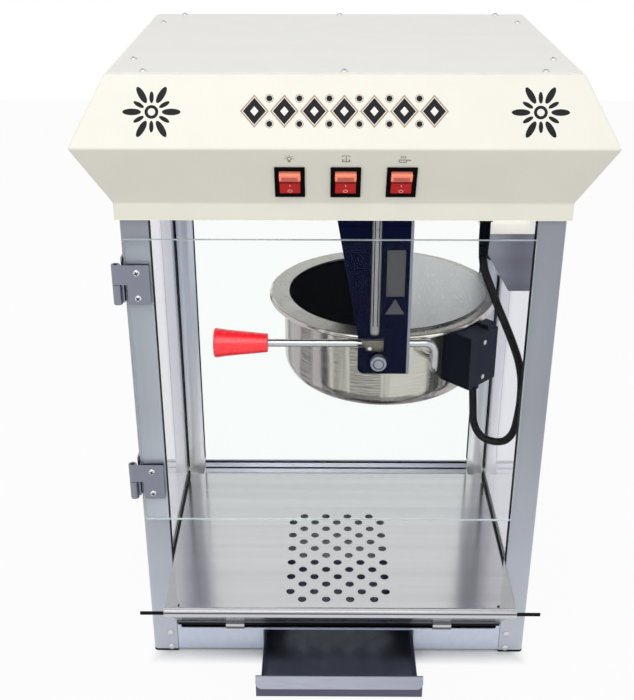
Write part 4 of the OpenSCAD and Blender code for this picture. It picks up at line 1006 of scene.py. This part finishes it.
class POPCORN_OT_base(Piece):
    """Makes the skirt's front panel, the chute, its edge strip and the drawer"""
    bl_idname = "popcorn.base"
    bl_label = "Base, chute and drawer"

    def execute(self, context):
        dressed("base_front_panel", "skirt_front", "galvanised")
        # Painted shade: the deck is dark on its front flange
        deck = finished(copied("deck_plate", "deck"), "cabinet", "brushed_steel", "deck_steel",
                        "deck_plate", crease=30)
        flange = at(0, 5, 49.5)
        second_finish(deck, "painted_shade_steel", lambda face: face.normal.y < -0.5
                      and face.center.y < flange.y and face.center.z < flange.z)
        # The chute's hooks are darker where the slot shades them
        shaded = ((0.0366, 0.0402), (0.044, 0.049))
        chute = copied("apron", "chute")
        for height in (*shaded[0], shaded[1][0]):
            edit(chute)
            bpy.ops.mesh.bisect(plane_co=(0, 0, height), plane_no=(0, 0, 1))
        softened(chute, SHEET_EDGE)
        finished(chute, "cabinet", "brushed_steel", "brushed_steel", "apron")
        hooks = at(0, -20, 0).y
        second_finish(chute, "painted_shade_steel", lambda face: face.normal.z < 0.7
                      and face.center.y > hooks
                      and any(low < face.center.z < high for low, high in shaded))
        # Painted shade: a dark strip on the lip stands for the shading in its rolled groove
        low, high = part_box("apron_edge_strip")
        front, middle = (low.y - FRONT_Y) * 1000 - 1.35, (low.z + high.z) * 500
        groove = (-208.9, front, middle + 0.1), (208.9, front + 0.6, middle + 2.6)
        strips("lip_groove_painted_shade", "brushed_steel", [groove], "groove_painted_shade_steel")
        # Painted shade in the slot: dark strips behind it, on its floor, and under the deck's edge
        painted_shade_strips = (((-209, 13.3, 35.4), (209, 14.1, 43.4)), ((-209, 2.4, 37.0), (209, 13.2, 37.15)),
                  ((-208, 0.84, 41.8), (208, 1.04, 45.4)))
        strips("slot_shade_strips", "black_plastic", painted_shade_strips, width=0.00004)
        dressed("apron_edge_strip", "edge_strip", "black_plastic", 0.0008, 3)
        dressed("drawer_tray", "crumb_tray", "brushed_steel", body="drawer", finish="tray_steel")
        # A wider edge would swell the front's fold into the skirt when the drawer is closed
        front = dressed("drawer_front", "drawer_face", "galvanised", SHEET_EDGE / 2, body="drawer",
                        finish="front_steel")
        # Painted light: the faces of the drawer's face that look up are paler
        second_finish(front, "lip_steel_painted_light", lambda face: face.normal.z > 0.3)
        return {"FINISHED"}


class POPCORN_OT_hangers(Piece):
    """Makes the hanger plates with the front one's rib and blank plates"""
    bl_idname = "popcorn.hangers"
    bl_label = "Hangers"

    def execute(self, context):
        top = 597.4
        for node, name in (("hanger_front", "front_hanger"), ("hanger_rear", "rear_hanger")):
            plate = dressed(node, name, "dark_mirror_steel", SHEET_EDGE, 2, 40)
            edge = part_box(node)[1].x * 1000
            # Painted highlight: paler steel along the plate's edge, and a bright strip there on the front
            # plate
            second_finish(plate, "rod_steel", lambda face: face.center.x > (edge - 2.6) / 1000
                          and face.center.z < (top - 0.9) / 1000)
            if node == "hanger_front":
                corners = (edge - 3.3, 18.86, 399.6), (edge - 0.4, 19.4, top)
                strips("hanger_edge_highlight", "bright_steel", [corners], "hinge_steel")
        trim = dressed("hanger_trim", "hanger_rib", "bright_steel", THIN_EDGE, 2, 50,
                       finish="rib_steel")
        plates_left = 0.0485
        second_finish(trim, "blank_steel", lambda face: face.center.x > plates_left)
        face_y = (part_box("hanger_trim")[0].y - FRONT_Y) * 1000
        # Painted reflection: two dark lines along the rib
        strips("rib_reflection_lines", "dark_mirror_steel", [
            ((x - 0.45, face_y - 0.08, 462), (x + 0.45, face_y + 1.2, top)) for x in (35.6, 40.7)])
        return {"FINISHED"}


# The kettle's axis, and the height of its wall's top
KETTLE_X = 55.5
KETTLE_Y = 182
KETTLE_TOP = 435.5


def vessel(name, floor, bend_centre, bend, wall, steps, heights):
    """An open round vessel, turned up its outside and down its inside: a flat floor, a bend and an
    upright wall with a ring at each of the heights."""
    flat = 60
    radius = bend_centre[0] + bend
    outside = [(0, floor), (flat, floor)] + arc(bend_centre, bend, -90, 0, steps)
    outside += [(radius, height) for height in heights]
    inside = [(radius - wall, height) for height in reversed(heights)]
    inside += arc(bend_centre, bend - wall, 0, -90, steps) + [(flat, floor + wall), (0, floor + wall)]
    return moved(turned(name, outside + inside, 160), at(KETTLE_X, KETTLE_Y, 0))


class POPCORN_OT_kettle(Piece):
    """Makes the kettle's shell, bowl and rolled rim, and its half lid with the flap"""
    bl_idname = "popcorn.kettle"
    bl_label = "Kettle and lid"

    def execute(self, context):
        shell = vessel("kettle_wall", 326, (98, 354), 28, 1.2, 10, (366, 400, KETTLE_TOP))
        finished(shell, "kettle", "polished_steel", "polished_steel", "kettle_shell")
        bowl = vessel("cooking_bowl", 352, (107.5, 366), 14, 1.5, 8, (400, KETTLE_TOP))
        finished(bowl, "kettle", "dark_coating", "dark_coating", "kettle_bowl")
        inner, flat_top = 119.8, KETTLE_TOP + 2.5
        edge = [(inner, KETTLE_TOP), (inner, flat_top - 0.4), (inner + 0.4, flat_top), (130, flat_top)]
        edge += arc((142, 434.5), 3.5, 90, -200, 14) + [(130, KETTLE_TOP), (inner, KETTLE_TOP)]
        centre = at(KETTLE_X, KETTLE_Y, 0)
        rim = moved(turned("rolled_rim", edge, 160), centre)
        finished(rim, "kettle", "polished_steel", "rim_steel", "kettle_rim")
        second_finish(rim, "bead_steel_painted_highlight", lambda face: (face.center - centre).xy.length > 0.138)
        for node, name, body in (("lid_fixed", "lid_half", "kettle"),
                                 ("lid_flap", "lid_leaf", "lid_flap")):
            lid = dressed(node, name, "brushed_steel", THIN_EDGE, 2, 40, body, "lid_steel")
            # Painted shade: the lid's upright edges take the darker blank steel as a dark outline
            second_finish(lid, "blank_steel", lambda face: abs(face.normal.z) < 0.3)
        return {"FINISHED"}


class POPCORN_OT_tilt_handle(Piece):
    """Makes the pivot blocks, the knob and the grip"""
    bl_idname = "popcorn.tilt_handle"
    bl_label = "Tilt handle"

    def execute(self, context):
        dressed("pivot_blocks", "pivot_castings", "cast_aluminium", 0.0012, 3, 40, "kettle")
        low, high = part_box("pivot_knob")
        reach = (high.y - low.y) * 1000
        stem, rim, back = 4.9, 9.55, reach - 9.7
        rings = [(0, 0), (stem, 0), (stem, back), (8.7, back), (rim, back + 0.8),
                 (rim, reach - 1.3), (8.9, reach - 0.5), (8.0, reach), (6.7, reach),
                 (6.2, reach - 0.7), (5.7, reach - 0.7), (5.2, reach - 0.2), (0, reach)]
        knob = turned("knob", rings, 2 * self.sizes.knurls)
        step = pi / self.sizes.knurls
        knurl, depth = 0.0094, 0.96
        edit(knob, "VERT", lambda vert: vert.co.xy.length > knurl
             and round((atan2(vert.co.y, vert.co.x) + pi) / step) % 2)
        bpy.ops.transform.resize(value=(depth, depth, 1), center_override=(0, 0, 0))
        rest()
        middle = (low + high) / 2
        hub = Vector((middle.x, high.y, middle.z))
        moved(knob, hub, (pi / 2, 0, 0))
        finished(knob, "kettle", "cast_aluminium", "knob_zinc", "pivot_knob", crease=30)
        # Painted shade in the groove round the knob's front
        second_finish(knob, "front_steel", lambda face: face.center.y < low.y + 0.002
                      and 0.0052 < (face.center - hub).xz.length < 0.0067)
        bore, root = 4.6, 8
        profile = [(bore, root), (bore, 1), (5.6, 0), (13, 0)] + arc((14.85, 2.5), 2.5, -90, 10, 6)
        profile += [(15.4, 16), (12.9, 42), (11.3, 58)] + arc((9.6, 60.9), 1.6, 10, 90, 5)
        profile += [(bore, 62.5), (bore, root)]
        grip = moved(turned("grip", profile, 72), at(-147.5, 30, 433.5), (0, pi / 2, 0))
        finished(grip, "kettle", "red_plastic", "red_plastic", "handle_grip")
        return {"FINISHED"}


class POPCORN_OT_connector(Piece):
    """Makes the connector housing on the kettle"""
    bl_idname = "popcorn.connector"
    bl_label = "Connector housing"

    def execute(self, context):
        housing = dressed("connector_housing", "connector_case", "black_plastic", 0.0022, 3, 40,
                          "kettle", "slate_plastic", clamp=True)
        # Painted light: the housing's right side and top are paler
        second_finish(housing, "slate_painted_light",
                      lambda face: face.normal.x > 0.3 or face.normal.z > 0.5)
        return {"FINISHED"}


class POPCORN_OT_lamp(Piece):
    """Makes the lamp shade and the lamp holder"""
    bl_idname = "popcorn.lamp"
    bl_label = "Lamp"

    def execute(self, context):
        cover = dressed("lamp_shade", "shade_plate", "brushed_steel", finish="shade_steel")
        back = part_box("lamp_shade")[1].y - 0.003
        # Painted light: the shade's top and back faces glow cream
        second_finish(cover, "shade_top", lambda face: face.normal.z > 0.3 or face.center.y > back)
        dressed("lamp_holder", "bulb_holder", "black_plastic", 0.001, 3, 40)
        return {"FINISHED"}


class POPCORN_OT_stage(Piece):
    """Adds the floor, the studio dome and the soft lights"""
    bl_idname = "popcorn.stage"
    bl_label = "Stage"

    def execute(self, context):
        stage = context.scene.popcorn_stage
        rest()
        bpy.ops.mesh.primitive_plane_add(size=stage.floor)
        floor = context.active_object
        floor.name = "floor"
        # The floor glows white to the eye and is duller where it lights the machine from below,
        # and doesn't glow in the dark under the machine
        paint = Finish("studio_floor", (0.9, 0.9, 0.9), 0.6)
        tree = paint.tree
        diffuse = new(tree, "LightPath").outputs["Is Diffuse Ray"]
        bounce = mixed(tree, diffuse, (0.9, 0.9, 0.9, 1), (0.48, 0.465, 0.43, 1))
        tree.links.new(bounce, paint.shader.inputs["Base Color"])
        # The glow comes in over these distances from the middle, past the machine's sides
        sides = [paint.ranged(maths(tree, "ABSOLUTE", paint.along(axis), 0), 0, 1, *edge)
                 for axis, edge in (("X", (0.225, 0.245)), ("Y", (0.17, 0.19)))]
        glow_share = maths(tree, "MULTIPLY", maths(tree, "MULTIPLY", eye_rays(tree), 0.92),
                           maths(tree, "MAXIMUM", *sides))
        glow = new(tree, "Emission", Color=WHITE)
        shown(tree, glow_share, paint.shader.outputs["BSDF"], glow.outputs["Emission"],
              "Material Output")
        painted(floor, "studio_floor")

        # The dome is plain white to the eye, whatever strength it lights with
        world = bpy.data.worlds.new("studio")
        context.scene.world = world
        world.use_nodes = True
        tree = world.node_tree
        dome = fed(tree, tree.nodes["Background"], Color=WHITE, Strength=stage.dome)
        plain = new(tree, "Background", Color=WHITE, Strength=1)
        shown(tree, eye_rays(tree), dome.outputs["Background"], plain.outputs["Background"],
              "World Output")

        middle = Vector((0, 0, 0.4))
        for name, place, size, power in (
                ("key", (-0.5, -2.2, 2.6), 2.4, stage.key),
                ("fill", (1.8, -1.4, 1.4), 1.2, stage.fill)):
            rest()
            bpy.ops.object.light_add(type="AREA", location=place)
            lamp = context.active_object
            lamp.name = name
            lamp.data.size = size
            lamp.data.energy = power
            lamp.rotation_euler = (middle - lamp.location).to_track_quat("-Z", "Y").to_euler()
        context.scene.view_settings.view_transform = "Standard"
        return {"FINISHED"}


STEPS = (
    POPCORN_OT_camera, POPCORN_OT_finishes, POPCORN_OT_kettle_cord, POPCORN_OT_canopy,
    POPCORN_OT_prints, POPCORN_OT_switches, POPCORN_OT_posts, POPCORN_OT_glass,
    POPCORN_OT_hinges, POPCORN_OT_base, POPCORN_OT_hangers, POPCORN_OT_kettle,
    POPCORN_OT_tilt_handle, POPCORN_OT_connector, POPCORN_OT_lamp, POPCORN_OT_stage,
)
GROUPS = {"popcorn_sizes": PopcornSizes, "popcorn_colours": PopcornColours,
          "popcorn_stage": PopcornStage}


class VIEW3D_PT_popcorn(bpy.types.Panel):
    bl_idname = "VIEW3D_PT_popcorn"
    bl_label = "Popcorn maker"
    bl_space_type = "VIEW_3D"
    bl_region_type = "UI"
    bl_category = "Popcorn maker"

    def draw(self, context):
        for step in STEPS:
            self.layout.operator(step.bl_idname)
        for group_name in GROUPS:
            group = getattr(context.scene, group_name)
            box = self.layout.box()
            for name in group.bl_rna.properties.keys():
                if name not in ("rna_type", "name"):
                    box.prop(group, name)


def register():
    for item in (*GROUPS.values(), *STEPS, VIEW3D_PT_popcorn):
        bpy.utils.register_class(item)
    for name, group in GROUPS.items():
        setattr(bpy.types.Scene, name, PointerProperty(type=group))


def unregister():
    for name in GROUPS:
        delattr(bpy.types.Scene, name)
    for item in reversed((*GROUPS.values(), *STEPS, VIEW3D_PT_popcorn)):
        bpy.utils.unregister_class(item)


def main():
    register()
    for step in STEPS:
        getattr(bpy.ops.popcorn, step.bl_idname.split(".")[1])()


if __name__ == "__main__":
    main()
